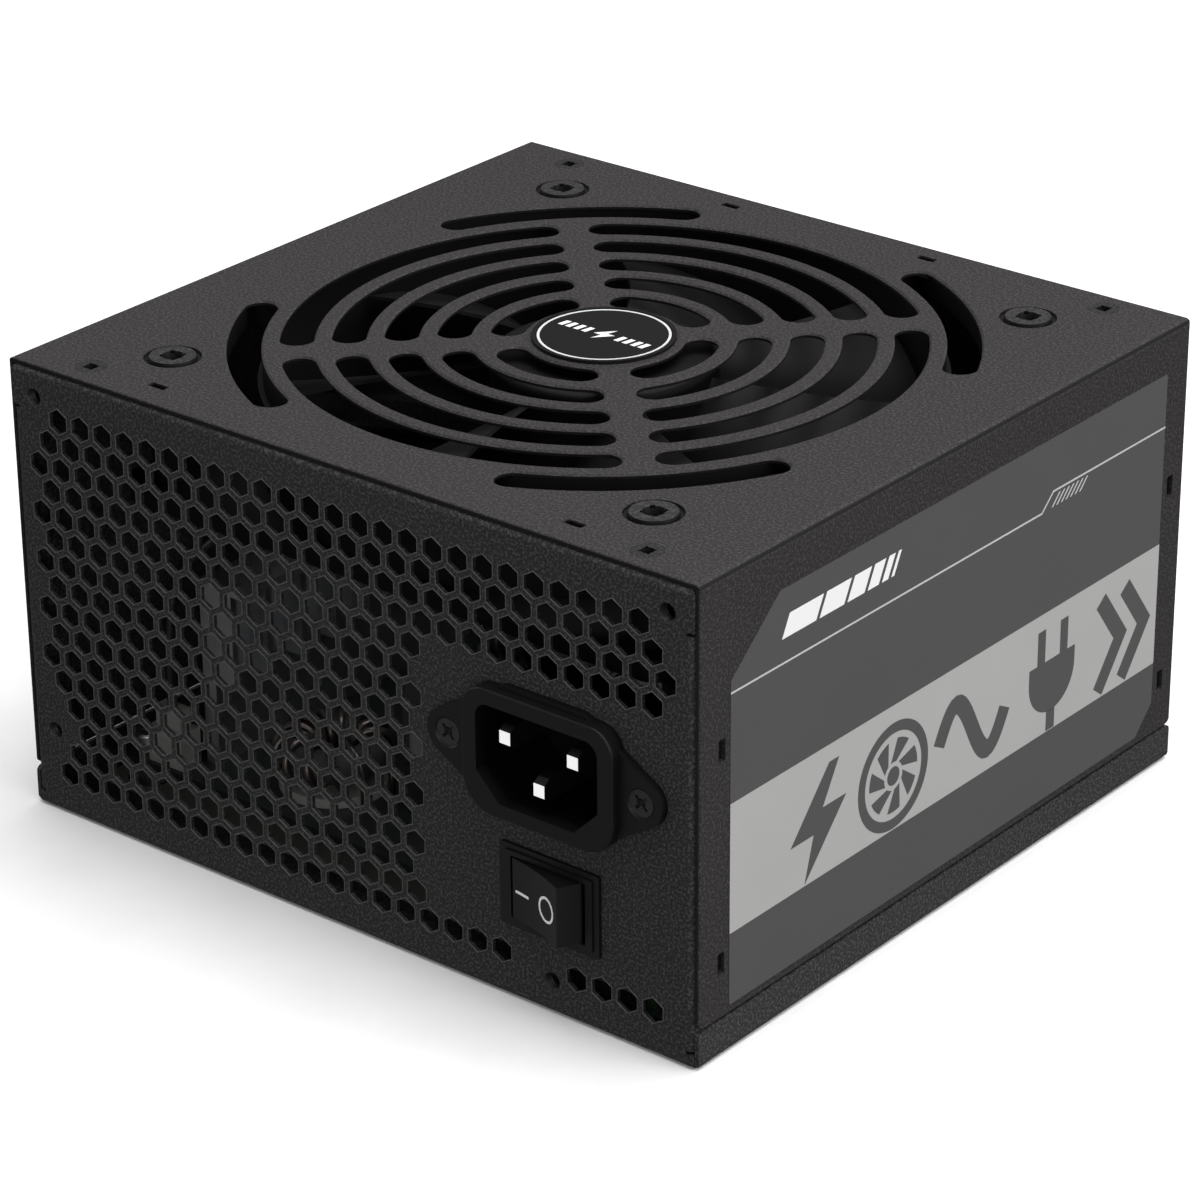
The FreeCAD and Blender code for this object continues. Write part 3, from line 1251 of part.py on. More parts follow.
def lead_live_out():
    """Switched live lead, from the switch to the board."""
    start = V(SWITCH_X + 6, REAR + SWITCH_DEPTH + 7, SWITCH_Z)
    end = V(56.0, -29.5, BOARD_TOP)
    points = [start, start + V(0, 8.0, 0), V(54.0, -30.5, SWITCH_Z + 5.0), end + V(0, 0, 9), end]
    return lead("lead_live_out", points, LEAD_R)


def lead_neutral():
    """Neutral lead, from the inlet to the board."""
    start = V(INLET_X + PIN_X, inlet_tab_end(), INLET_Z + PIN_Z)
    end = V(66.0, -29.5, BOARD_TOP)
    points = [start, start + V(0, 7, 0), V(55.5, -34.0, INLET_Z - 4), V(64.5, -29.8, 30.0),
              end + V(0, 0, 10), end]
    return lead("lead_neutral", points, LEAD_R)


def earth_lead():
    """Earth lead, from the inlet to the ring terminal on the base."""
    start = V(INLET_X, inlet_tab_end(), INLET_Z + EARTH_PIN_Z)
    end = V(EARTH_TAG[0] - 6, EARTH_TAG[1], SHEET + 2.6)
    points = [start, start + V(0, 6, 0), V(INLET_X + 8, -41.0, 36.0), V(61.5, -46.0, 28.0),
              V(63.0, -56.0, 19.0), end + V(0, 0, 9), end]
    return lead("earth_lead", points, LEAD_R)


def cable_grommet():
    """Moulded grommet that lines the cable opening."""
    inside = HALF_D - SHEET
    outer = prism("XZ", grommet_outline(GROMMET_FLANGE), HALF_D, HALF_D + GROMMET_FLANGE_THICK)
    inner = prism("XZ", grommet_outline(GROMMET_FLANGE), inside - GROMMET_FLANGE_THICK, inside)
    neck = prism("XZ", grommet_outline(GROMMET_WALL), inside, HALF_D)
    opening = prism("XZ", grommet_outline(0), HALF_D - 5, HALF_D + 5)
    return union(outer, inner, neck).cut(opening)


NODES = {
    "chassis": chassis,
    "top_cover": top_cover,
    "grille_badge": grille_badge,
    "side_label_right": lambda: side_label(1),
    "side_label_left": lambda: side_label(-1),
    "cover_screws": cover_screws,
    "cable_grommet": cable_grommet,
    "inlet_body": inlet_body,
    "inlet_pins": inlet_pins,
    "inlet_screws": inlet_screws,
    "inlet_nuts": inlet_nuts,
    "switch_housing": switch_housing,
    "switch_rocker": switch_rocker,
    "switch_plunger": switch_plunger,
    "switch_spring": switch_spring,
    "switch_contact_arm": switch_contact_arm,
    "switch_terminals": switch_terminals,
    "fan_frame": fan_frame,
    "fan_screws": fan_screws,
    "fan_rotor": fan_rotor,
    "fan_shaft": fan_shaft,
    "fan_bearing": fan_bearing,
    "fan_retaining_clip": fan_retaining_clip,
    "fan_yoke": fan_yoke,
    "fan_magnet_ring": fan_magnet_ring,
    "fan_stator": fan_stator,
    "fan_coils": fan_coils,
    "fan_driver_board": fan_driver_board,
    "fan_lead": fan_lead,
    "fan_plug": fan_plug,
    "fan_socket": fan_socket,
    "main_board": main_board,
    "board_insulator": board_insulator,
    "board_standoffs": board_standoffs,
    "board_screws": board_screws,
    "bulk_capacitor": bulk_capacitor,
    "output_capacitors": output_capacitors,
    "primary_heatsink": primary_heatsink,
    "secondary_heatsink": secondary_heatsink,
    "primary_transistors": primary_transistors,
    "output_rectifiers": output_rectifiers,
    "bridge_rectifier": bridge_rectifier,
    "main_transformer_core": main_transformer_core,
    "main_transformer_winding": main_transformer_winding,
    "standby_transformer_core": standby_transformer_core,
    "standby_transformer_winding": standby_transformer_winding,
    "transformer_bobbins": transformer_bobbins,
    "choke_cores": choke_cores,
    "choke_windings": choke_windings,
    "choke_seats": choke_seats,
    "x_capacitor": x_capacitor,
    "y_capacitors": y_capacitors,
    "fuse": fuse,
    "fuse_clips": fuse_clips,
    "thermistor": thermistor,
    "control_board": control_board,
    "optocouplers": optocouplers,
    "mains_leads": lambda: group([lead_live_in(), lead_live_out(), lead_neutral()]),
    "earth_lead": earth_lead,
    "earth_tag": earth_tag,
}


def main():
    """Write each node to its own file."""
    os.makedirs("parts", exist_ok=True)
    for name, build in NODES.items():
        shape = build()
        shape.exportStep(os.path.join("parts", name + ".step"))
        print(name, len(shape.Solids), "solids, volume", round(shape.Volume, 1), "valid", shape.isValid())


main()
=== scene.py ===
"""Desktop power supply: finishes, printed marks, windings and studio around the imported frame.

Lengths are metres, and marks drawn on a face are in millimetres along it. The origin is the middle of
the underside, +Z leaves through the fan grille, and -Y leaves through the rear panel with the mains
inlet and the rocker switch.
"""

import json
import logging
import math
import random
from collections.abc import Callable, Sequence
from dataclasses import dataclass, field
from enum import Enum
from functools import cached_property

import bmesh
import bpy
from mathutils import Matrix, Quaternion, Vector
from mathutils.bvhtree import BVHTree


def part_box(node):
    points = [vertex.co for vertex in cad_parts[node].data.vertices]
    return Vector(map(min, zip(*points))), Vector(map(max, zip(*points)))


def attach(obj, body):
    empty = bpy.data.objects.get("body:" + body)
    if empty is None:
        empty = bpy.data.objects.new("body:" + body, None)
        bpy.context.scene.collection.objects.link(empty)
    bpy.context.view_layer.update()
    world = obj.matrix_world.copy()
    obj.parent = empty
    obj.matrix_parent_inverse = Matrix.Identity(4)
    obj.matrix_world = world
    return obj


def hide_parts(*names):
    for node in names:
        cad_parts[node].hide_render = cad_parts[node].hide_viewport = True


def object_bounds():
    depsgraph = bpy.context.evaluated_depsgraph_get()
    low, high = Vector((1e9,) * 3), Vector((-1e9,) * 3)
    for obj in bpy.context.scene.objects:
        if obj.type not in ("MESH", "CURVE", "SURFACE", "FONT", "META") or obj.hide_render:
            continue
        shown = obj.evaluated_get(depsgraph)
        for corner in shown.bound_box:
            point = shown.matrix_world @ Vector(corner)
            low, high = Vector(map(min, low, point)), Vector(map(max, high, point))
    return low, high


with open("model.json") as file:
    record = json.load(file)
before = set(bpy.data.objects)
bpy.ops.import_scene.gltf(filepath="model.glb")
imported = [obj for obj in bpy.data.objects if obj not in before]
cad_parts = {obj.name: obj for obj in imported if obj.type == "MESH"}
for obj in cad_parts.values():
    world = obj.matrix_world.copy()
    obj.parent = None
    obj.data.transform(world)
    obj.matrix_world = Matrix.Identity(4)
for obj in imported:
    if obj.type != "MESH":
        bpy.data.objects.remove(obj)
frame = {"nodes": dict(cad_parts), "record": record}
CAD_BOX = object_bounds()

MM = 0.001
LOG = logging.getLogger("power_supply")
WHITE = (1.0, 1.0, 1.0)
BLACK = (0.0, 0.0, 0.0)
WELD = 0.001 * MM

# Where painted shade and the blades' painted glow start and stop on a piece.
COVER_END_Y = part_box("top_cover")[1].y - 0.05 * MM
SLOT_WALL_Z = tuple(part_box("top_cover")[1].z - depth * MM for depth in (0.9, 0.35))
FAN_SCREW_RIM_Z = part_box("fan_screws")[1].z - 0.06 * MM
COVER_SCREW_RIM_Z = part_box("cover_screws")[1].z - 0.05 * MM
SOCKET_MOUTH_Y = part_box("inlet_body")[0].y + 1.8 * MM
BLADE_END_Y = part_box("inlet_pins")[0].y

Colour = tuple[float, float, float]
Point = tuple[float, float]
Placer = Callable[[float, float, float], Vector]


def tone(red: float, green: float | None = None, blue: float | None = None) -> Colour:
    """Linear colour of display levels from 0 to 255, or of one level for a grey."""
    levels = (red, red if green is None else green, red if blue is None else blue)
    return tuple(x / 255 / 12.92 if x <= 10 else ((x / 255 + 0.055) / 1.055) ** 2.4 for x in levels)


class Slot(Enum):
    """Material slots of the record."""

    CASE = "case"
    BADGE = "badge"
    LABEL = "label"
    WHITE_PLASTIC = "white_plastic"
    STEEL = "plain_steel"
    COPPER = "copper"
    SLEEVE = "can_sleeve"


# ---- shader graphs
class Value:
    """One number of a shader graph; Python's operators on it add Math nodes."""

    def __init__(self, graph: "Graph", socket: bpy.types.NodeSocket) -> None:
        """Wraps an output socket of the graph."""
        self.graph = graph
        self.socket = socket

    def _math(self, operation: str, first: "Value | float", second: "Value | float") -> "Value":
        """The result of one Math node."""
        node = self.graph.node("ShaderNodeMath", {"operation": operation}, {0: first, 1: second})
        return Value(self.graph, node.outputs[0])

    def __add__(self, other: "Value | float") -> "Value":
        """self + other."""
        return self._math("ADD", self, other)

    def __radd__(self, other: float) -> "Value":
        """other + self."""
        return self._math("ADD", other, self)

    def __sub__(self, other: "Value | float") -> "Value":
        """self - other."""
        return self._math("SUBTRACT", self, other)

    def __rsub__(self, other: float) -> "Value":
        """other - self."""
        return self._math("SUBTRACT", other, self)

    def __mul__(self, other: "Value | float") -> "Value":
        """self * other."""
        return self._math("MULTIPLY", self, other)

    def __rmul__(self, other: float) -> "Value":
        """other * self."""
        return self._math("MULTIPLY", other, self)

    def __truediv__(self, other: "Value | float") -> "Value":
        """self / other."""
        return self._math("DIVIDE", self, other)

    def fraction(self) -> "Value":
        """Part of the value after the point."""
        return self._math("FRACT", self, 0.0)

    def between(self, low: float, high: float) -> "Value":
        """Smooth step of the value.

        Args:
            low: Value where the step starts.
            high: Value where the step ends.

        Returns:
            0 below low, 1 above high, smooth in between.
        """
        settings = {"interpolation_type": "SMOOTHSTEP"}
        node = self.graph.node("ShaderNodeMapRange", settings, {0: self, 1: low, 2: high, 3: 0.0, 4: 1.0})
        return Value(self.graph, node.outputs[0])


Input = Value | bpy.types.NodeSocket | float | Sequence[float]


class Graph:
    """Node graph of a material or of the world."""

    def __init__(self, owner: bpy.types.Material | bpy.types.World, output: str) -> None:
        """Starts the owner's graph afresh, with an output node of that type.

        Args:
            owner: The material or the world.
            output: Type of its output node.
        """
        owner.use_nodes = True
        self.tree = owner.node_tree
        self.tree.nodes.clear()
        self.output = self.node(output)

    @cached_property
    def place(self) -> bpy.types.NodeSocket:
        """The surface point, in the row frame at rest."""
        return self.node("ShaderNodeTexCoord").outputs["Object"]

    def node(self, kind: str, settings: dict[str, object] | None = None,
             inputs: dict[int | str, Input] | None = None) -> bpy.types.Node:
        """Adds a node.

        Args:
            kind: Type of the node.
            settings: Its properties by name, which are set first.
            inputs: Its sockets by name or number, each a value, a socket to link or a plain number.

        Returns:
            The new node.
        """
        made = self.tree.nodes.new(kind)
        for name, value in (settings or {}).items():
            setattr(made, name, value)
        for key, value in (inputs or {}).items():
            source = value.socket if isinstance(value, Value) else value
            if isinstance(source, bpy.types.NodeSocket):
                self.tree.links.new(source, made.inputs[key])
            else:
                made.inputs[key].default_value = value
        return made

    def axes(self) -> tuple[Value, Value, Value]:
        """The x, y and z of the surface point, in the row frame at rest."""
        outputs = self.node("ShaderNodeSeparateXYZ", {}, {0: self.place}).outputs
        return tuple(Value(self, outputs[i]) for i in range(3))

    def stretched(self, factors: Sequence[float]) -> bpy.types.NodeSocket:
        """The surface point with each axis multiplied by its factor."""
        node = self.node("ShaderNodeVectorMath", {"operation": "MULTIPLY"}, {0: self.place, 1: factors})
        return node.outputs[0]

    def noise(self, size: float, detail: float = 2.0, rough: float = 0.5,
              where: bpy.types.NodeSocket | None = None) -> Value:
        """Noise about 0.5 in clouds of that size, read at the surface point or at a vector."""
        inputs = {"Vector": where or self.place, "Scale": 1 / size, "Detail": detail, "Roughness": rough}
        return Value(self, self.node("ShaderNodeTexNoise", {"noise_dimensions": "3D"}, inputs).outputs[0])

    def cells(self, size: float, where: bpy.types.NodeSocket | None = None) -> Value:
        """Distance to the nearest of scattered points, in cells of that size."""
        inputs = {"Vector": where or self.place, "Scale": 1 / size}
        return Value(self, self.node("ShaderNodeTexVoronoi", {"feature": "F1"}, inputs).outputs[0])

    def mix(self, mask: Value, low: Input, high: Input) -> bpy.types.NodeSocket:
        """Blends two colours.

        Args:
            mask: 0 for the first colour, 1 for the second.
            low: First colour, or a socket with one.
            high: Second colour, or a socket with one.

        Returns:
            Socket of the blended colour.
        """
        low, high = ((*c, 1.0) if isinstance(c, tuple) else c for c in (low, high))
        node = self.node("ShaderNodeMix", {"data_type": "RGBA"}, {0: mask, 6: low, 7: high})
        return node.outputs[2]

    def bump(self, height: Value, relief: float,
             under: bpy.types.NodeSocket | None = None) -> bpy.types.NodeSocket:
        """Normal of a relief.

        Args:
            height: Height of the relief from 0 to 1.
            relief: Real height of 1.
            under: Normal of a coarser relief below it, if any.

        Returns:
            Socket of the normal.
        """
        inputs = {"Strength": 1.0, "Distance": relief, "Height": height}
        if under is not None:
            inputs["Normal"] = under
        return self.node("ShaderNodeBump", {}, inputs).outputs[0]

    def surface(self, inputs: dict[str, Input]) -> None:
        """Ends the graph in a principled surface with those sockets.

        Args:
            inputs: Values of the sockets by name, with a Base Color.
        """
        colour = inputs["Base Color"]
        if isinstance(colour, tuple):
            inputs = {**inputs, "Base Color": (*colour, 1.0)}
        self.end(self.node("ShaderNodeBsdfPrincipled", {}, inputs))

    def end(self, shader: bpy.types.Node) -> None:
        """Links the last shader to the output."""
        self.tree.links.new(shader.outputs[0], self.output.inputs[0])


def lighter(colour: Colour, factor: float) -> Colour:
    """The colour multiplied by a factor."""
    return tuple(min(1.0, c * factor) for c in colour)


# ---- finishes
@dataclass(frozen=True)
class Finish:
    """What every finish has: a colour and its two shades, a roughness and its spread."""

    colour: Colour
    roughness: float = 0.5
    shades: Point = (0.9, 1.1)
    spread: float = 0.2

    def build(self, graph: Graph) -> None:
        """Adds the finish's nodes to the graph."""
        raise NotImplementedError

    def make(self, name: str) -> bpy.types.Material:
        """A new material of that name with this finish.

        Args:
            name: Name of the material.

        Returns:
            The material.
        """
        material = bpy.data.materials.new(name)
        self.build(Graph(material, "ShaderNodeOutputMaterial"))
        return material

    def shaded(self, graph: Graph, mask: Value) -> bpy.types.NodeSocket:
        """The colour, from its first shade to its second by a mask."""
        first, second = (lighter(self.colour, shade) for shade in self.shades)
        return graph.mix(mask, first, second)

    def uneven(self, noise: Value) -> Value:
        """The roughness, spread by a noise."""
        return self.roughness + (noise - 0.5) * self.spread


@dataclass(frozen=True)
class PowderCoat(Finish):
    """Fine-textured powder coat: packed grains over a slight orange peel."""

    shades: Point = (0.93, 1.07)
    spread: float = 0.3
    grain: float = 0.5 * MM
    peel: float = 6.0
    drift: float = 45 * MM
    relief: float = 0.1 * MM
    gloss: float = 0.5
    tips: Point = (0.46, 0.64)
    contrast: float = 2.3

    def build(self, graph: Graph) -> None:
        """Adds the grain, its paler tips and the slow drift of tone.

        Args:
            graph: Graph of the new material.
        """
        grain = graph.noise(self.grain, 2.0, 0.6)
        peel = graph.noise(self.grain * self.peel, 1.0)
        drifted = self.shaded(graph, graph.noise(self.drift))
        tipped = graph.mix(grain.between(*self.tips), drifted, lighter(self.colour, self.contrast))
        under = graph.bump(peel, self.relief)
        graph.surface({"Base Color": self.with_painted_shade(graph, tipped), "Roughness": self.uneven(grain),
                       "Specular IOR Level": self.gloss, "Normal": graph.bump(grain, self.relief, under)})

    def with_painted_shade(self, graph: Graph, colour: bpy.types.NodeSocket) -> bpy.types.NodeSocket:
        """The colour where no shade is painted: as it is."""
        return colour


@dataclass(frozen=True)
class ShadePaintedCoat(PowderCoat):
    """Powder coat with painted shade: dark on cut ends, slot walls and the sunk parts of a piece."""

    dark_z: Point = (0.0, 0.0)
    cut_y: float = 1.0
    soft: float = 0.04 * MM
    # Factors of the painted shade in recesses and on cut ends.
    recess_shade: float = 0.22
    end_shade: float = 0.5

    def with_painted_shade(self, graph: Graph, colour: bpy.types.NodeSocket) -> bpy.types.NodeSocket:
        """The colour with painted shade between the two heights and beyond the cut ends.

        Args:
            graph: Graph of the new material.
            colour: Socket of the coat where it is even.

        Returns:
            Socket of the colour.
        """
        _, y, z = graph.axes()
        low, high = self.dark_z
        # Painted shade on slot walls, dimples, screw heads' sides and drive sockets between the two
        # heights.
        recess_shade_mask = z.between(low, low + self.soft) * (1.0 - z.between(high, high + self.soft))
        # Painted shade on the cut ends beyond cut_y, for the shadow at the panel's edge.
        rear = 1.0 - y.between(-self.cut_y - self.soft, -self.cut_y)
        end_shade_mask = rear + y.between(self.cut_y, self.cut_y + self.soft)
        end_shaded = graph.mix(end_shade_mask, colour, lighter(self.colour, self.end_shade))
        return graph.mix(recess_shade_mask, end_shaded, lighter(self.colour, self.recess_shade))


@dataclass(frozen=True)
class MouldedPlastic(Finish):
    """Injection-moulded plastic with the fine texture of an eroded tool."""

    shades: Point = (0.9, 1.12)
    spread: float = 0.22
    texture: float = 0.25 * MM
    cloud: float = 9 * MM
    relief: float = 0.006 * MM
    gloss: float = 0.5
    deep_y: float = 1.0
    deep_fade: float = 1 * MM
    deep_shade: float = 0.2

    def build(self, graph: Graph) -> None:
        """Adds the tool's texture, faint flow clouds and painted shade in the depths beyond deep_y.

        Args:
            graph: Graph of the new material.
        """
        texture = graph.noise(self.texture, 2.0, 0.6)
        clouded = self.shaded(graph, graph.noise(self.cloud, 3.0))
        _, y, _ = graph.axes()
        # Painted shade in the socket's depths.
        depth_shade_mask = y.between(self.deep_y, self.deep_y + self.deep_fade)
        colour = graph.mix(depth_shade_mask, clouded, lighter(self.colour, self.deep_shade))
        graph.surface({"Base Color": colour, "Roughness": self.uneven(texture),
                       "Specular IOR Level": self.gloss, "Normal": graph.bump(texture, self.relief)})


@dataclass(frozen=True)
class PlatedMetal(Finish):
    """Rolled or plated metal with streaks one way and a little tarnish."""

    shades: Point = (1.0, 0.45)
    spread: float = 0.25
    streak: float = 1.2 * MM
    streaks: tuple[float, float, float] = (1.0, 1.0, 6.0)
    relief: float = 0.004 * MM
    cloud: float = 5 * MM
    tarnish: float = 0.25

    def build(self, graph: Graph) -> None:
        """Adds the rolling streaks and the tarnish clouds.

        Args:
            graph: Graph of the new material.
        """
        streak = graph.noise(self.streak, 3.0, 0.6, graph.stretched(self.streaks))
        dulled = graph.noise(self.cloud, 4.0, 0.6).between(0.5, 0.75) * self.tarnish
        graph.surface({"Base Color": self.shaded(graph, dulled), "Metallic": 1.0,
                       "Roughness": self.uneven(streak), "Normal": graph.bump(streak, self.relief)})


@dataclass(frozen=True)
class BladeNickel(Finish):
    """Nickel-plated blade whose white end face glows as a painted highlight and whose shank is painted dark
    with shade.
    """

    shades: Point = (1.0, 0.03)
    scratch: float = 0.5 * MM
    end: float = 0.0
    depth: float = 0.05 * MM
    metallic: float = 0.8
    painted_glow: float = 0.4

    def build(self, graph: Graph) -> None:
        """Adds the change from the glowing end face to the shank in painted shade.

        Args:
            graph: Graph of the new material.
        """
        _, y, _ = graph.axes()
        # Painted shade on the shank behind the end face, which glows as a painted highlight.
        shank_shade_mask = y.between(self.end + self.depth, self.end + 2 * self.depth)
        scratches = graph.noise(self.scratch, 3.0, 0.6)
        graph.surface({"Base Color": self.shaded(graph, shank_shade_mask), "Metallic": shank_shade_mask * self.metallic,
                       "Roughness": self.uneven(scratches), "Emission Strength": self.painted_glow,
                       "Emission Color": graph.mix(shank_shade_mask, self.colour, BLACK)})


@dataclass(frozen=True)
class PrintedFilm(Finish):
    """Satin polyester film or the ink on it."""

    shades: Point = (0.95, 1.05)
    matting: float = 0.16 * MM
    wash: float = 18 * MM
    relief: float = 0.0025 * MM

    def build(self, graph: Graph) -> None:
        """Adds the film's matting and the print's slight unevenness.

        Args:
            graph: Graph of the new material.
        """
        matting = graph.noise(self.matting, 1.0)
        washed = self.shaded(graph, graph.noise(self.wash, 3.0))
        graph.surface({"Base Color": washed, "Roughness": self.uneven(matting),
                       "Normal": graph.bump(matting, self.relief)})


@dataclass(frozen=True)
class Laminate(Finish):
    """Circuit board: solder mask over copper tracks and a woven core."""

    shades: Point = (1.0, 1.9)
    spread: float = 0.12
    track: float = 7 * MM
    weave: float = 0.7 * MM
    relief: float = 0.03 * MM

    def build(self, graph: Graph) -> None:
        """Adds the tracks under the mask and the weave of the core.

        Args:
            graph: Graph of the new material.
        """
        x, y, _ = graph.axes()
        tracks = graph.cells(self.track, graph.stretched((1.0, 1.0, 0.05))).between(0.3, 0.33)
        weave = (x / self.weave).fraction() * (y / self.weave).fraction()
        graph.surface({"Base Color": self.shaded(graph, tracks), "Coat Weight": 0.35,
                       "Roughness": self.roughness + weave * self.spread,
                       "Normal": graph.bump(tracks, self.relief)})


@dataclass(frozen=True)
class Wrapped(Finish):
    """Smooth wrapping: shrink sleeve, polyester tape or wire insulation, creased round its axis."""

    shades: Point = (0.88, 1.12)
    spread: float = 0.15
    crease: float = 1.1 * MM
    wash: float = 6 * MM
    relief: float = 0.02 * MM

    def build(self, graph: Graph) -> None:
        """Adds the creases that lie round the upright axis.

        Args:
            graph: Graph of the new material.
        """
        creases = graph.noise(self.crease, where=graph.stretched((0.25, 0.25, 1.5)))
        washed = self.shaded(graph, graph.noise(self.wash))
        graph.surface({"Base Color": washed, "Roughness": self.uneven(creases),
                       "Normal": graph.bump(creases, self.relief)})


@dataclass(frozen=True)
class Enamel(Finish):
    """Enamelled copper wire: warm metal under a thin clear coat."""

    shades: Point = (0.75, 1.2)
    cloud: float = 2.5 * MM

    def build(self, graph: Graph) -> None:
        """Adds the uneven bake of the enamel.

        Args:
            graph: Graph of the new material.
        """
        bake = graph.noise(self.cloud, 3.0)
        graph.surface({"Base Color": self.shaded(graph, bake), "Metallic": 0.85,
                       "Roughness": self.uneven(bake), "Coat Weight": 0.5})


@dataclass(frozen=True)
class Pressed(Finish):
    """Pressed and fired powder: ferrite, or the dipped epoxy of a ceramic part."""

    shades: Point = (1.0, 1.8)
    spread: float = 0.15
    pore: float = 0.5 * MM
    scuff: float = 3 * MM
    relief: float = 0.02 * MM

    def build(self, graph: Graph) -> None:
        """Adds the pores and paler scuffs.

        Args:
            graph: Graph of the new material.
        """
        scuffs = graph.noise(self.scuff, 4.0, 0.65).between(0.58, 0.7)
        graph.surface({"Base Color": self.shaded(graph, scuffs * 0.4),
                       "Roughness": self.roughness + scuffs * self.spread,
                       "Normal": graph.bump(graph.cells(self.pore), self.relief)})


@dataclass(frozen=True)
class Glass(Finish):
    """Clear tube with a faint smear."""

    shades: Point = (1.0, 0.9)
    spread: float = 0.1
    smear: float = 2 * MM

    def build(self, graph: Graph) -> None:
        """Adds the smear to the colour and the roughness.

        Args:
            graph: Graph of the new material.
        """
        smear = graph.noise(self.smear, 3.0)
        graph.surface({"Base Color": self.shaded(graph, smear), "IOR": 1.45,
                       "Roughness": self.roughness + smear * self.spread, "Transmission Weight": 0.9})


class Palette(Enum):
    """Finishes of this power supply, one for each thing that is painted, moulded, plated or wound."""

    CASE = PowderCoat(tone(42, 41, 41), 0.65, gloss=0.2, contrast=3.0)
    # The cover and its screws carry painted shade in slot walls, dimples, drive sockets and on cut ends.
    COVER = ShadePaintedCoat(tone(40, 38, 39), 0.65, gloss=0.2, dark_z=SLOT_WALL_Z, cut_y=COVER_END_Y)
    FAN_SCREW = ShadePaintedCoat(tone(38, 37, 37), 0.6, gloss=0.2, relief=0.02 * MM, recess_shade=0.06,
                          dark_z=(0.0, FAN_SCREW_RIM_Z))
    COVER_SCREW = ShadePaintedCoat(tone(32), 0.6, gloss=0.2, relief=0.02 * MM, recess_shade=0.06,
                            dark_z=(0.0, COVER_SCREW_RIM_Z))
    # Paler than the case: painted highlight on the vent's hole edges.
    CUT_EDGE = PowderCoat(tone(70, 69, 69), 0.5, grain=0.3 * MM, contrast=1.6)
    SCREW = PowderCoat(tone(30), 0.45, grain=0.2 * MM, relief=0.008 * MM)
    BADGE = MouldedPlastic(tone(16), 0.55, gloss=0.15)
    BADGE_SILVER = PrintedFilm(tone(214, 215, 218), 0.3)
    BADGE_WHITE = PrintedFilm(tone(235), 0.45)
    LABEL = PrintedFilm(tone(75), 0.45)
    LABEL_BAND = PrintedFilm(tone(173, 173, 172), 0.42)
    LABEL_DARK = PrintedFilm(tone(76), 0.45)
    LABEL_WHITE = PrintedFilm(tone(246), 0.42)
    LABEL_LINE = PrintedFilm(tone(196), 0.42)
    BLACK_PLASTIC = MouldedPlastic(tone(14), 0.45, gloss=0.3)
    # Painted shade inside the socket, past its mouth.
    INLET_PLASTIC = MouldedPlastic(tone(12), 0.45, gloss=0.3, deep_y=SOCKET_MOUTH_Y)
    SWITCH_BLACK = MouldedPlastic(tone(15), 0.42, relief=0.003 * MM, gloss=0.35)
    SWITCH_WHITE = PrintedFilm(tone(255), 0.5)
    FAN_PLASTIC = MouldedPlastic(tone(13), 0.6, gloss=0.15)
    WHITE_PLASTIC = MouldedPlastic(tone(150, 149, 145), 0.5)
    CONTACT = PlatedMetal(tone(222, 222, 218), 0.3, tarnish=0.15)
    STEEL = PlatedMetal(tone(196, 198, 200), 0.34)
    # White end faces that glow as painted highlight, shanks in painted shade.
    BLADE = BladeNickel(tone(255), 0.35, end=BLADE_END_Y)
    # Steel painted dark as the shade inside the mounting holes.
    THREAD = PlatedMetal(tone(62, 62, 64), 0.5)
    BRONZE = PlatedMetal(tone(176, 138, 88), 0.45, tarnish=0.5)
    COPPER = Enamel(tone(98, 91, 87), 0.36)
    FERRITE = Pressed(tone(48, 48, 50), 0.7)
    BOARD = Laminate(tone(15, 21, 18), 0.45)
    INSULATOR = Wrapped(tone(120, 119, 115), 0.5, relief=0.003 * MM)
    CAN_SLEEVE = Wrapped(tone(26, 28, 34), 0.38)
    CAN_STRIPE = PrintedFilm(tone(176, 178, 184), 0.45)
    HEATSINK = PlatedMetal(tone(188, 190, 192), 0.42, streaks=(3.0, 0.2, 3.0), tarnish=0.3)
    TAPE = Wrapped(tone(122, 120, 115), 0.38)
    CERAMIC = Pressed(tone(44, 66, 98), 0.35, pore=0.25 * MM)
    EPOXY = Pressed(tone(30), 0.5, pore=0.3 * MM)
    GLASS = Glass(tone(236, 240, 240), 0.05)
    WIRE_BLACK = Wrapped(tone(24), 0.42, relief=0.004 * MM)
    WIRE_GREEN = Wrapped(tone(30, 54, 33), 0.42, relief=0.004 * MM)

    def material(self) -> bpy.types.Material:
        """The material of this finish, made the first time it is asked for."""
        name = f"{self.name.lower()}_finish"
        return bpy.data.materials.get(name) or self.value.make(name)


def dress(finishes: dict[Palette, str]) -> None:
    """Gives CAD nodes their finishes.

    Args:
        finishes: Names of the nodes, with spaces between them, by their finish.
    """
    for finish, names in finishes.items():
        for name in names.split():
            mesh = frame["nodes"][name].data
            mesh.materials.clear()
            mesh.materials.append(finish.material())
            LOG.info("%s: %s", name, finish.name.lower())


# ---- meshes
def arc(centre: Point, radius: float, start: float, end: float, steps: int) -> list[Point]:
    """Points of an arc between two angles in degrees, both ends included."""
    turns = [math.radians(start + (end - start) * i / steps) for i in range(steps + 1)]
    return [(centre[0] + radius * math.cos(t), centre[1] + radius * math.sin(t)) for t in turns]


def circle(radius: float, steps: int, middle_u: float = 0.0) -> list[Point]:
    """Points of a circle, each once."""
    return arc((middle_u, 0), radius, 0, 360, steps)[:-1]


def rectangle(left: float, right: float, low: float, high: float) -> list[Point]:
    """Corners of an upright rectangle."""
    return [(left, low), (right, low), (right, high), (left, high)]


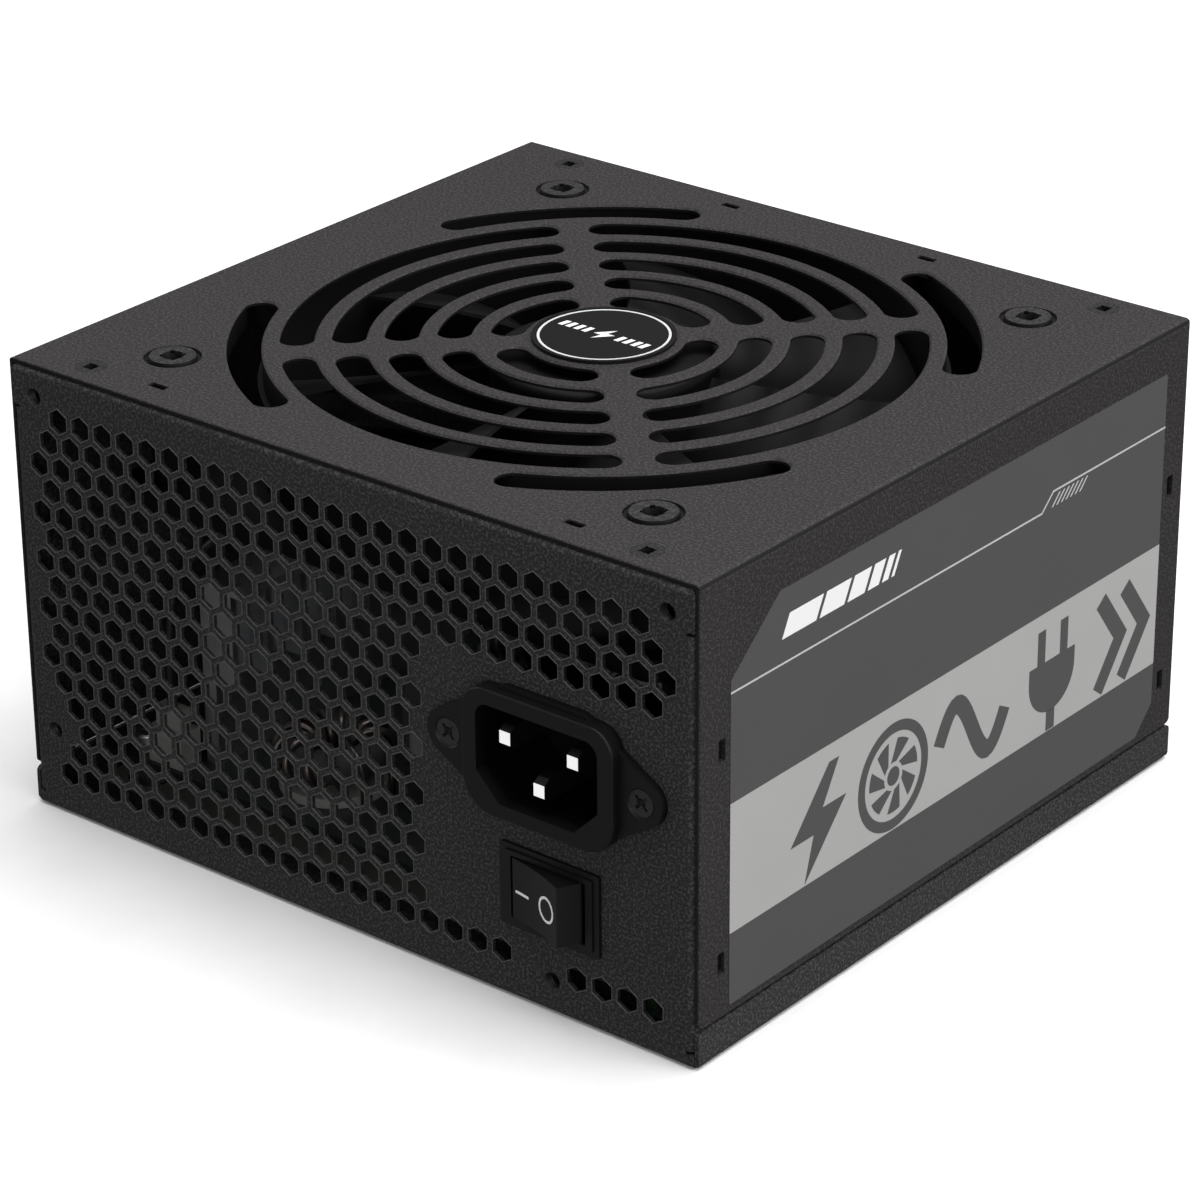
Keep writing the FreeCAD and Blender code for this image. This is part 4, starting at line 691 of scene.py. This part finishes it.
def stroke(line: Sequence[Point], width: float) -> tuple[list[Point], list[Point]]:
    """Both edges of a pen stroke.

    Args:
        line: Points along the stroke's middle.
        width: Width of the stroke.

    Returns:
        The points of its left edge and of its right edge, mitred at the corners.
    """
    left, right = [], []
    for i, point in enumerate(line):
        here = Vector(point)
        before = (here - Vector(line[i - 1])).normalized() if i else None
        after = (Vector(line[i + 1]) - here).normalized() if i + 1 < len(line) else None
        before, after = before or after, after or before
        along = (before + after).normalized()
        across = Vector((-along.y, along.x)) * (width / 2 / max(0.3, along.dot(before)))
        left.append(tuple(here + across))
        right.append(tuple(here - across))
    return left, right


class Maker:
    """A mesh in the making, which becomes one piece that rides on a body."""

    def __init__(self) -> None:
        """Starts empty."""
        self.mesh = bmesh.new()

    def _loops(self, rows: Sequence[Sequence[Vector]], ring: bool, column: bool) -> None:
        """Joins rows of points with faces.

        Args:
            rows: Rows of points, all of one length.
            ring: True if each row closes on itself.
            column: True if the last row joins the first.
        """
        made = [[self.mesh.verts.new(p) for p in row] for row in rows]
        height = len(made) if column else len(made) - 1
        width = len(made[0]) if ring else len(made[0]) - 1
        for i in range(height):
            low, high = made[i], made[(i + 1) % len(made)]
            for j in range(width):
                k = (j + 1) % len(low)
                self.mesh.faces.new((low[j], low[k], high[k], high[j]))
        if not column:
            for row in (made[0], made[-1]) if ring else ():
                self.mesh.faces.new(row)

    def slab(self, outline: Sequence[Point], place: Placer, low: float, high: float) -> None:
        """Adds a flat slab with that outline between two heights."""
        self._loops([[place(u, v, w) for u, v in outline] for w in (low, high)], True, False)

    def band(self, edges: Sequence[Sequence[Point]], place: Placer, low: float, high: float,
             closed: bool = False) -> None:
        """Adds a thin band between two edges.

        Args:
            edges: Points of its two edges, as many on each.
            place: Turns (u, v, height) into a point.
            low: Height of its underside.
            high: Height of its top.
            closed: True if the band is a ring.
        """
        corners = ((0, low), (1, low), (1, high), (0, high))
        rows = [[place(*edges[side][i], w) for side, w in corners] for i in range(len(edges[0]))]
        self._loops(rows, True, closed)

    def turned(self, profile: Sequence[Point], axis: Matrix, steps: int) -> None:
        """Adds a turned ring.

        Args:
            profile: (radius, height) points, the last joined to the first.
            axis: Matrix that puts the turning axis, which is +Z, in place.
            steps: Number of faces round the axis.
        """
        rows = []
        for i in range(steps):
            turn = math.tau * i / steps
            rows.append([axis @ Vector((r * math.cos(turn), r * math.sin(turn), z)) for r, z in profile])
        self._loops(rows, True, True)

    def tube(self, path: Sequence[Vector], radius: float, sides: int, closed: bool = False) -> None:
        """Adds a round tube along a path.

        Args:
            path: Points along its middle.
            radius: Radius of the tube.
            sides: Number of faces round it.
            closed: True if the path's last point joins its first, else both ends are capped.
        """
        rows = []
        across = None
        last = len(path) - 1
        for i, point in enumerate(path):
            after = path[(i + 1) % len(path)] if closed else path[min(i + 1, last)]
            before = path[i - 1] if closed or i else path[0]
            along = (after - before).normalized()
            if across is None:
                across = along.orthogonal().normalized()
            across = (across - along * across.dot(along)).normalized()
            up = along.cross(across)
            turns = [math.tau * k / sides for k in range(sides)]
            rows.append([point + radius * (math.cos(t) * across + math.sin(t) * up) for t in turns])
        self._loops(rows, True, closed)

    def piece(self, name: str, finish: Palette, slot: Slot, body: str = "case",
              smooth: bool = False) -> bpy.types.Object:
        """Ends the mesh as a piece.

        Args:
            name: Name of the piece.
            finish: Its finish.
            slot: Material slot of the record for it; not used.
            body: CAD body that it rides on.
            smooth: True to shade it smooth.

        Returns:
            The new object.
        """
        bmesh.ops.recalc_face_normals(self.mesh, faces=self.mesh.faces)
        data = bpy.data.meshes.new(name)
        self.mesh.to_mesh(data)
        self.mesh.free()
        data.polygons.foreach_set("use_smooth", [smooth] * len(data.polygons))
        data.materials.append(finish.material())
        made = bpy.data.objects.new(name, data)
        bpy.context.scene.collection.objects.link(made)
        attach(made, body)
        LOG.info("%s: %d faces on %s", name, len(data.polygons), body)
        return made


def welded(node: str) -> bmesh.types.BMesh:
    """Copy of a CAD node's mesh with its doubled points joined.

    Args:
        node: Name of the node.

    Returns:
        The new mesh, to be freed.
    """
    mesh = bmesh.new()
    mesh.from_mesh(frame["nodes"][node].data)
    bmesh.ops.remove_doubles(mesh, verts=mesh.verts, dist=WELD)
    return mesh


def islands(node: str) -> list[tuple[Vector, Vector]]:
    """Boxes of the separate solids of a CAD node.

    Args:
        node: Name of the node.

    Returns:
        Lowest and highest corner of each solid, in the order of their lowest x, then y.
    """
    mesh = welded(node)
    left = set(mesh.verts)
    boxes = []
    while left:
        group, edge = set(), [left.pop()]
        while edge:
            vert = edge.pop()
            group.add(vert)
            near = [e.other_vert(vert) for e in vert.link_edges]
            edge.extend(v for v in near if v in left)
            left.difference_update(near)
        places = [v.co.copy() for v in group]
        low = Vector([min(p[i] for p in places) for i in range(3)])
        high = Vector([max(p[i] for p in places) for i in range(3)])
        boxes.append((low, high))
    mesh.free()
    return sorted(boxes, key=lambda pair: (round(pair[0].x, 5), round(pair[0].y, 5)))


def hole_outlines(node: str, corners: int) -> list[list[Vector]]:
    """Outlines of the straight-sided holes in the rearmost flat face of a CAD node.

    Args:
        node: Name of the node.
        corners: Number of corners that the wanted holes have.

    Returns:
        The corners of each hole in order.
    """
    mesh = welded(node)
    face_y = min(v.co.y for v in mesh.verts) + 2 * WELD
    flat = {f for f in mesh.faces if all(v.co.y < face_y for v in f.verts)}
    links: dict[bmesh.types.BMVert, list[bmesh.types.BMVert]] = {}
    for edge in mesh.edges:
        if sum(f in flat for f in edge.link_faces) == 1:
            a, b = edge.verts
            links.setdefault(a, []).append(b)
            links.setdefault(b, []).append(a)
    outlines = []
    seen: set[bmesh.types.BMVert] = set()
    for start in links:
        if start in seen:
            continue
        loop, here = [], start
        while here is not None:
            seen.add(here)
            loop.append(here.co.copy())
            here = next((v for v in links[here] if v not in seen), None)
        if len(loop) == corners:
            outlines.append(loop)
    mesh.free()
    return outlines


# ---- the object
@dataclass
class Casing:
    """Bent steel case in two halves, its screws and the cut threads of the rear mounting holes."""

    mounts: tuple[Point, ...]
    thread_root: float = 1.6 * MM
    thread_crest: float = 1.36 * MM
    thread_pitch: float = 0.6 * MM
    thread_wall: float = 0.03 * MM
    thread_start: float = 0.02 * MM
    crest_place: float = 0.55
    collar_end: float = 2.0 * MM
    bead: float = 0.12 * MM
    side_slots: tuple[Point, ...] = ((-63.9, 55.5), (-63.9, 17.3), (65.4, 55.5), (65.4, 17.3))
    tab_half: Point = (0.85, 1.95)
    tab_x: Point = (73.4, 73.9)

    def build(self) -> None:
        """Dresses the sheet metal and cuts the threads."""
        dress({Palette.CASE: "chassis", Palette.COVER: "top_cover", Palette.FAN_SCREW: "fan_screws",
               Palette.COVER_SCREW: "cover_screws", Palette.BLACK_PLASTIC: "cable_grommet"})
        self._threads()
        self._punched_edges()
        self._tabs()

    def _tabs(self) -> None:
        """Half-sheared tabs that fill the locating slots in both sides."""
        maker = Maker()
        half_y, half_z = self.tab_half
        for side in (-1, 1):
            def place(u: float, v: float, w: float) -> Vector:
                """Point of a side, from millimetres along it and a depth."""
                return Vector((side * w * MM, u * MM, v * MM))

            for y, z in self.side_slots:
                maker.slab(rectangle(y - half_y, y + half_y, z - half_z, z + half_z), place, *self.tab_x)
        maker.piece("locating_tabs", Palette.SCREW, Slot.CASE)

    def _punched_edges(self) -> None:
        """Bead round each punched hexagon of the rear vent, paler than the panel as a painted highlight on
        the hole edges.
        """
        maker = Maker()
        for outline in hole_outlines("chassis", 6):
            maker.tube(outline, self.bead, 6, closed=True)
        maker.piece("vent_edges", Palette.CUT_EDGE, Slot.CASE)

    def _threads(self) -> None:
        """Thread inside each rear mounting hole, its steel painted dark as the hole's shade."""
        maker = Maker()
        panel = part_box("chassis")[0].y
        crests = int(self.collar_end / self.thread_pitch)
        outside = self.thread_root + self.thread_wall
        profile = [(self.thread_root, self.thread_start)]
        for i in range(crests):
            profile.append((self.thread_crest, (i + self.crest_place) * self.thread_pitch))
            profile.append((self.thread_root, (i + 1) * self.thread_pitch))
        profile += [(outside, crests * self.thread_pitch), (outside, self.thread_start)]
        for x, z in self.mounts:
            axis = Matrix.Translation((x, panel, z)) @ Matrix.Rotation(-math.pi / 2, 4, "X")
            maker.turned(profile, axis, 32)
        maker.piece("mount_threads", Palette.THREAD, Slot.STEEL)


@dataclass
class SideLabels:
    """Printed films on both sides of the cover: rule, hatch, speed bars and a band of pictograms."""

    ink: float = 0.02 * MM
    rule_low: float = 64.7
    rule_high: float = 67.7
    rule_width: float = 0.34
    rule_step: Point = (24.5, 27.8)
    hatch_from: float = 27.4
    hatch_pitch: float = 1.4
    hatch_bars: int = 7
    hatch_bar: tuple[Point, ...] = ((0.0, 0.1), (0.45, 0.1), (2.65, 2.3), (2.2, 2.3))
    mark_from: float = -48.7
    mark_z: Point = (69.0, 73.0)
    band_z: Point = (21.8, 45.2)
    pen: float = 3.2
    pictogram_z: float = 32.0
    pictogram_size: float = 1.08
    pictogram_y: tuple[float, ...] = (-38.2, -17.4, 5.4, 29.5, 51.6)
    edge_y: Point = (-61.8, 62.8)
    mark_widths: tuple[float, ...] = (9.0, 6.6, 4.6, 3.0, 1.7, 0.8)
    mark_gap: float = 0.9
    mark_lean: float = 0.5
    bolt: tuple[Point, ...] = ((2.5, 9.3), (-7.0, -1.6), (-1.2, -1.6), (-3.4, -9.3), (7.0, 2.2), (1.0, 2.2),
                               (5.0, 9.3))
    fan_rim: Point = (9.2, 7.4)
    fan_hub: float = 1.6
    fan_blade: Point = (6.3, 2.4)
    fan_blades: int = 7
    tip_turn: Point = (0.0, 30.0)
    root_turn: Point = (56.0, 22.0)
    wave: Point = (9.0, 5.6)
    plug_half: float = 6.5
    plug_bars: tuple[tuple[float, ...], ...] = ((-4.3, -2.1, 3.4, 9.3), (2.1, 4.3, 3.4, 9.3),
                                                (-1.2, 1.2, -9.3, -5.8))
    arrow_shifts: Point = (-6.6, 0.4)
    arrow: Point = (6.2, 8.2)

    def build(self) -> None:
        """Dresses both films and prints them."""
        dress({Palette.LABEL: "side_label_right side_label_left"})
        for side, name in ((1, "right"), (-1, "left")):
            low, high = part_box(f"side_label_{name}")
            face = high.x if side > 0 else low.x
            self._print(name, side, face)

    def _print(self, name: str, side: int, face: float) -> None:
        """Prints one label.

        Args:
            name: Name of the side.
            side: 1 for +X, -1 for -X.
            face: x of the film's face.
        """
        def place(u: float, v: float, w: float) -> Vector:
            """Point of the film's face, from millimetres along it and a height off it."""
            return Vector((face + side * w, u * MM, v * MM))

        lines, mark, band, dark = Maker(), Maker(), Maker(), Maker()
        self._rule(lines, place)
        self._mark(mark, place)
        band.slab(rectangle(*self.edge_y, *self.band_z), place, 0, self.ink)
        self._pictograms(dark, place)
        lines.piece(f"label_lines_{name}", Palette.LABEL_LINE, Slot.LABEL)
        mark.piece(f"label_bars_{name}", Palette.LABEL_WHITE, Slot.LABEL)
        band.piece(f"label_band_{name}", Palette.LABEL_BAND, Slot.LABEL)
        dark.piece(f"label_pictograms_{name}", Palette.LABEL_DARK, Slot.LABEL)

    def _rule(self, maker: Maker, place: Placer) -> None:
        """Thin stepped rule and the hatch under its step.

        Args:
            maker: Mesh that takes the marks.
            place: Turns millimetres on the film into a point.
        """
        low, high = self.rule_low, self.rule_high
        (y0, y3), (y1, y2) = self.edge_y, self.rule_step
        line = [(y0, low), (y1, low), (y2, high), (y3, high)]
        maker.band(stroke(line, self.rule_width), place, 0, self.ink)
        for i in range(self.hatch_bars):
            y = self.hatch_from + i * self.hatch_pitch
            maker.slab([(y + u, low + v) for u, v in self.hatch_bar], place, 0, self.ink)

    def _mark(self, maker: Maker, place: Placer) -> None:
        """Row of slanted bars that get narrower.

        Args:
            maker: Mesh that takes the marks.
            place: Turns millimetres on the film into a point.
        """
        low, high = self.mark_z
        lean = (high - low) * self.mark_lean
        y = self.mark_from
        for width in self.mark_widths:
            bar = [(y, low), (y + width, low), (y + width + lean, high), (y + lean, high)]
            maker.slab(bar, place, 0, self.ink)
            y += width + self.mark_gap

    def _pictograms(self, maker: Maker, place: Placer) -> None:
        """Bolt, fan, wave, plug and arrows, printed dark on the band.

        Args:
            maker: Mesh that takes the marks.
            place: Turns millimetres on the film into a point.
        """
        low, high = self.ink, 2 * self.ink
        bolt, fan, wave, plug, arrows = (self._spot(y, place) for y in self.pictogram_y)
        maker.slab(self.bolt, bolt, low, high)
        maker.band([circle(radius, 64) for radius in self.fan_rim], fan, low, high, True)
        maker.slab(circle(self.fan_hub, 24), fan, low, high)
        tip, root = self.fan_blade
        for turn in (i * 360 / self.fan_blades for i in range(self.fan_blades)):
            outside = arc((0, 0), tip, *(turn + angle for angle in self.tip_turn), 8)
            inside = arc((0, 0), root, *(turn + angle for angle in self.root_turn), 5)
            maker.slab(outside + inside, fan, low, high)
        reach, rise = self.wave
        sweep = [(reach * (i / 12 - 1), rise * math.sin(math.tau * i / 24)) for i in range(25)]
        maker.band(stroke(sweep, self.pen), wave, low, high)
        half, brow = self.plug_half, self.plug_bars[0][2]
        maker.slab([(-half, brow), *arc((0, 0.6), half, 180, 360, 24), (half, brow)], plug, low, high)
        for u0, u1, v0, v1 in self.plug_bars:
            maker.slab(rectangle(u0, u1, v0, v1), plug, low, high)
        length, half = self.arrow
        for shift in self.arrow_shifts:
            chevron = [(shift, half), (shift + length, 0.0), (shift, -half)]
            maker.band(stroke(chevron, self.pen), arrows, low, high)

    def _spot(self, y: float, place: Placer) -> Placer:
        """Placer of a pictogram drawn about its own middle, y millimetres along the film.

        Args:
            y: Place of its middle along the film.
            place: Turns millimetres on the film into a point.

        Returns:
            The placer.
        """
        def spot(u: float, v: float, w: float) -> Vector:
            """Point of the film's face, from the pictogram's own millimetres."""
            return place(y + u * self.pictogram_size, self.pictogram_z + v * self.pictogram_size, w)

        return spot


@dataclass
class Badge:
    """Round plate on the grille's hub with a silver ring and a plain emblem."""

    ring: Point = (11.2, 11.65)
    dish: float = 0.15 * MM
    lift: float = 0.03 * MM
    bolt: tuple[Point, ...] = ((0.9, 2.6), (-1.9, -0.5), (-0.3, -0.5), (-0.9, -2.6), (1.9, 0.5), (0.3, 0.5))
    bars: tuple[float, ...] = (3.6, 5.4, 7.2, 8.8)
    bar: tuple[Point, ...] = ((-0.7, -1.1), (0.3, -1.1), (0.7, 1.1), (-0.3, 1.1))

    def build(self) -> None:
        """Dresses the plate and adds its ring and emblem."""
        dress({Palette.BADGE: "grille_badge"})
        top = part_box("grille_badge")[1].z

        def in_dish(u: float, v: float, w: float) -> Vector:
            """Point above the dished middle, from millimetres on the plate."""
            return Vector((u * MM, v * MM, top - self.dish + w))

        ring, emblem = Maker(), Maker()
        ring.band([circle(radius, 96) for radius in self.ring], in_dish, 0, self.lift, True)
        ring.piece("badge_ring", Palette.BADGE_SILVER, Slot.BADGE)
        emblem.slab(self.bolt, in_dish, 0, self.lift)
        for start in self.bars:
            for side in (-1, 1):
                emblem.slab([(side * start + u, v) for u, v in self.bar], in_dish, 0, self.lift)
        emblem.piece("badge_emblem", Palette.BADGE_WHITE, Slot.BADGE)


@dataclass
class MainsInlet:
    """Moulded inlet socket with three blades, held by two screws."""

    def build(self) -> None:
        """Dresses the socket's nodes."""
        dress({Palette.INLET_PLASTIC: "inlet_body", Palette.BLADE: "inlet_pins",
               Palette.SCREW: "inlet_screws", Palette.STEEL: "inlet_nuts"})


@dataclass
class RockerSwitch:
    """Rocker switch with a dash and a ring printed on the two halves of its rocker."""

    ink: float = 0.03 * MM
    dash: tuple[float, float, float, float] = (-6.5, -3.3, -0.62, -0.14)
    ring_x: float = 1.6
    ring_radii: Point = (2.15, 1.72)
    ring_stretch: float = 1.1
    mark_z: float = -0.2
    ray_from: float = 50 * MM
    target: BVHTree = field(init=False)
    middle: Vector = field(init=False)

    def build(self) -> None:
        """Dresses the switch's nodes and prints the rocker."""
        dress({Palette.SWITCH_BLACK: "switch_housing switch_rocker", Palette.STEEL: "switch_spring",
               Palette.CONTACT: "switch_plunger switch_contact_arm switch_terminals"})
        low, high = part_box("switch_housing")
        self.middle = (low + high) / 2
        mesh = frame["nodes"]["switch_rocker"].data
        faces = [p.vertices for p in mesh.polygons]
        self.target = BVHTree.FromPolygons([v.co for v in mesh.vertices], faces)
        marks = Maker()
        x0, x1, z0, z1 = self.dash
        across = [x0 + (x1 - x0) * i / 6 for i in range(7)]
        marks.band([[(x, z) for x in across] for z in (z0, z1)], self._on_rocker, 0, self.ink)
        loops = [[(u, self.mark_z + v * self.ring_stretch) for u, v in circle(radius, 48, self.ring_x)]
                 for radius in self.ring_radii]
        marks.band(loops, self._on_rocker, 0, self.ink, True)
        marks.piece("rocker_marks", Palette.SWITCH_WHITE, Slot.WHITE_PLASTIC, "rocker")

    def _on_rocker(self, u: float, v: float, w: float) -> Vector:
        """Point on the rocker's dished face.

        Args:
            u: Millimetres along +X from the switch's middle.
            v: Millimetres along +Z from the switch's middle.
            w: Height off the face.

        Returns:
            The point, in the row frame.
        """
        start = Vector((self.middle.x + u * MM, self.middle.y - self.ray_from, self.middle.z + v * MM))
        hit, normal, _, _ = self.target.ray_cast(start, Vector((0, 1, 0)))
        return hit + normal * (w if normal.y < 0 else -w)


@dataclass
class CoolingFan:
    """Fan under the grille with its motor, driver board and lead."""

    def build(self) -> None:
        """Dresses the fan's nodes."""
        dress({Palette.FAN_PLASTIC: "fan_frame fan_rotor", Palette.BRONZE: "fan_bearing",
               Palette.STEEL: "fan_shaft fan_retaining_clip fan_yoke fan_stator",
               Palette.FERRITE: "fan_magnet_ring", Palette.COPPER: "fan_coils",
               Palette.BOARD: "fan_driver_board", Palette.WIRE_BLACK: "fan_lead",
               Palette.WHITE_PLASTIC: "fan_plug fan_socket"})


@dataclass
class CircuitBoard:
    """Main board with its capacitors, heatsinks, transformers and wound chokes."""

    wires: tuple[float, ...] = (0.7 * MM, 0.7 * MM, 0.6 * MM, 0.8 * MM)
    wire_gap: float = 0.05 * MM
    first_turn: float = 20.0
    last_turn: float = 340.0
    packing: float = 0.96
    turn_steps: int = 20
    foot_depth: float = 0.2 * MM
    seed: int = 7
    top_margin: float = 1.5 * MM
    stripe_from: float = 6 * MM
    stripe_half_deg: float = 26.0
    score_reach: float = 0.55
    score_pen: float = 0.35 * MM
    ink: Point = (-0.02 * MM, 0.03 * MM)
    score_ink: Point = (0.03 * MM, 0.05 * MM)

    def build(self) -> None:
        """Dresses the board's nodes and adds windings, can tops and can stripes."""
        dress({Palette.BOARD: "main_board control_board", Palette.INSULATOR: "board_insulator",
               Palette.STEEL: "board_standoffs board_screws", Palette.CONTACT: "fuse_clips",
               Palette.CAN_SLEEVE: "bulk_capacitor output_capacitors",
               Palette.HEATSINK: "primary_heatsink secondary_heatsink",
               Palette.EPOXY: "primary_transistors output_rectifiers bridge_rectifier transformer_bobbins "
                              "thermistor optocouplers",
               Palette.FERRITE: "main_transformer_core standby_transformer_core choke_cores",
               Palette.TAPE: "main_transformer_winding standby_transformer_winding x_capacitor",
               Palette.COPPER: "choke_windings", Palette.WHITE_PLASTIC: "choke_seats",
               Palette.CERAMIC: "y_capacitors", Palette.GLASS: "fuse"})
        self._windings()
        self._cans()

    def _windings(self) -> None:
        """One continuous wire round each choke's core, with both ends down on the board."""
        maker = Maker()
        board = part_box("main_board")[1].z
        for (low, high), wire in zip(islands("choke_cores"), self.wires):
            middle = (low + high) / 2
            minor = (high.z - low.z) / 2
            major = (high.x - low.x) / 2 - minor
            reach = minor + wire + self.wire_gap
            start = math.radians(self.first_turn)
            share = math.radians(self.last_turn) - start
            turns = int((major - reach) * share / (2 * wire) * self.packing)
            path = []
            for i in range(turns * self.turn_steps + 1):
                round_core = start + share * i / (turns * self.turn_steps)
                round_wire = math.tau * i / self.turn_steps
                out = major + reach * math.cos(round_wire)
                path.append(middle + Vector((out * math.cos(round_core), out * math.sin(round_core),
                                             -reach * math.sin(round_wire))))
            feet = [Vector((end.x, end.y, board - self.foot_depth)) for end in (path[0], path[-1])]
            path = [feet[0], *path, feet[1]]
            maker.tube(path, wire, 8)
        wound = maker.piece("choke_wires", Palette.COPPER, Slot.COPPER, smooth=True)
        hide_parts("choke_windings")

    def _cans(self) -> None:
        """Bare aluminium top with a scored vent, and a polarity stripe, on each capacitor can."""
        tops, scores, stripes = Maker(), Maker(), Maker()
        rng = random.Random(self.seed)
        for low, high in islands("output_capacitors") + islands("bulk_capacitor"):
            middle = (low + high) / 2
            radius = (high.x - low.x) / 2
            turn = rng.uniform(0, 360)

            def flat(u: float, v: float, w: float) -> Vector:
                """Point above the can's top."""
                return Vector((middle.x + u, middle.y + v, high.z + w))

            def side(u: float, v: float, w: float) -> Vector:
                """Point off the can's wall, from an angle in degrees and a height."""
                out, angle = radius + w, math.radians(u)
                return Vector((middle.x + out * math.cos(angle), middle.y + out * math.sin(angle), v))

            tops.slab(circle(radius - self.top_margin, 40), flat, *self.ink)
            reach = radius * self.score_reach
            for angle in (turn, turn + 90):
                u, v = reach * math.cos(math.radians(angle)), reach * math.sin(math.radians(angle))
                scores.band(stroke([(-u, -v), (u, v)], self.score_pen), flat, *self.score_ink)
            angles = [turn + self.stripe_half_deg * (i / 5 - 1) for i in range(11)]
            heights = (low.z + self.stripe_from, high.z - self.top_margin)
            stripes.band([[(a, z) for a in angles] for z in heights], side, *self.ink)
        tops.piece("can_tops", Palette.STEEL, Slot.STEEL)
        scores.piece("can_vents", Palette.EPOXY, Slot.SLEEVE)
        stripes.piece("can_stripes", Palette.CAN_STRIPE, Slot.SLEEVE)


@dataclass
class Wiring:
    """Leads between the inlet, the switch, the board and the case."""

    def build(self) -> None:
        """Dresses the leads' nodes."""
        dress({Palette.WIRE_BLACK: "mains_leads", Palette.WIRE_GREEN: "earth_lead",
               Palette.STEEL: "earth_tag"})


# ---- the studio
@dataclass
class SoftBox:
    """Large soft lamp aimed at the object's middle."""

    name: str
    place: tuple[float, float, float]
    size: float
    power: float

    def build(self, aim: Vector) -> None:
        """Hangs the lamp and aims it.

        Args:
            aim: Point that it shines at.
        """
        data = bpy.data.lights.new(self.name, "AREA")
        data.shape = "SQUARE"
        data.size = self.size
        data.energy = self.power
        lamp = bpy.data.objects.new(self.name, data)
        bpy.context.scene.collection.objects.link(lamp)
        lamp.location = self.place
        lamp.rotation_mode = "QUATERNION"
        lamp.rotation_quaternion = (aim - Vector(self.place)).to_track_quat("-Z", "Y")


@dataclass
class Studio:
    """Pale floor, soft lamps, a white surround and the camera."""

    camera_place: tuple[float, float, float] = (0.4496, -0.5533, 0.3744)
    camera_aim: tuple[float, float, float] = (0.00105, -0.00299, 0.03711)
    camera_roll: float = -0.00766
    lens: float = 133.4
    clip: Point = (0.05, 50.0)
    surround: float = 0.22
    floor_half: float = 6.0
    floor_drop: float = 0.1 * MM
    lamps: tuple[SoftBox, ...] = (
        SoftBox("lamp_top", (0.25, 0.15, 1.5), 1.5, 30.0),
        SoftBox("lamp_right", (1.5, 0.35, 0.55), 1.2, 16.0),
        SoftBox("lamp_left", (-1.5, -0.1, 0.7), 1.2, 6.0),
        SoftBox("lamp_front", (0.0, 1.6, 0.7), 1.2, 4.0),
        SoftBox("lamp_rear", (0.22, -0.45, 0.16), 0.25, 0.5),
    )

    def build(self) -> None:
        """Builds the studio."""
        low, high = CAD_BOX
        for lamp in self.lamps:
            lamp.build((low + high) / 2)
        self._surround()
        self._floor()
        self._camera()
        bpy.context.scene.view_settings.view_transform = "Standard"

    def _surround(self) -> None:
        """World that lights dimly and is white where it is seen."""
        world = bpy.data.worlds.new("surround")
        bpy.context.scene.world = world
        graph = Graph(world, "ShaderNodeOutputWorld")
        ray = graph.node("ShaderNodeLightPath").outputs["Is Camera Ray"]
        shades = [graph.node("ShaderNodeBackground", {}, {"Color": (*WHITE, 1.0), "Strength": strength})
                  for strength in (self.surround, 1.0)]
        graph.end(graph.node("ShaderNodeMixShader", {}, {0: ray, 1: shades[0].outputs[0],
                                                         2: shades[1].outputs[0]}))

    def _floor(self) -> None:
        """Pale floor that casts no light back on the object."""
        half = self.floor_half
        data = bpy.data.meshes.new("floor")
        corners = [(-half, -half, 0), (half, -half, 0), (half, half, 0), (-half, half, 0)]
        data.from_pydata(corners, [], [(0, 1, 2, 3)])
        data.materials.append(PrintedFilm(tone(245), 0.8).make("floor"))
        floor = bpy.data.objects.new("floor", data)
        bpy.context.scene.collection.objects.link(floor)
        floor.location.z = CAD_BOX[0].z - self.floor_drop
        floor.visible_diffuse = False
        floor.visible_glossy = False

    def _camera(self) -> None:
        """Camera at the three-quarter view of the rear, the top and the right side."""
        data = bpy.data.cameras.new("camera")
        data.lens = self.lens
        data.clip_start, data.clip_end = self.clip
        camera = bpy.data.objects.new("camera", data)
        bpy.context.scene.collection.objects.link(camera)
        camera.location = self.camera_place
        camera.rotation_mode = "QUATERNION"
        aimed = (Vector(self.camera_aim) - Vector(self.camera_place)).to_track_quat("-Z", "Y")
        camera.rotation_quaternion = aimed @ Quaternion((0, 0, 1), self.camera_roll)
        bpy.context.scene.camera = camera


def main() -> None:
    """Builds the power supply's sub-assemblies in order, then the studio."""
    logging.basicConfig(level=logging.INFO, format="%(message)s")
    mounts = tuple(tuple(m["pos_m"][i] for i in (0, 2)) for m in frame["record"]["mounts"]
                   if m["name"].startswith("rear_screw"))
    parts = (Casing(mounts), SideLabels(), Badge(), MainsInlet(), RockerSwitch(), CoolingFan(),
             CircuitBoard(), Wiring())
    for part in parts:
        part.build()
        LOG.info("%s done", type(part).__name__)
    Studio().build()


if __name__ == "__main__":
    main()
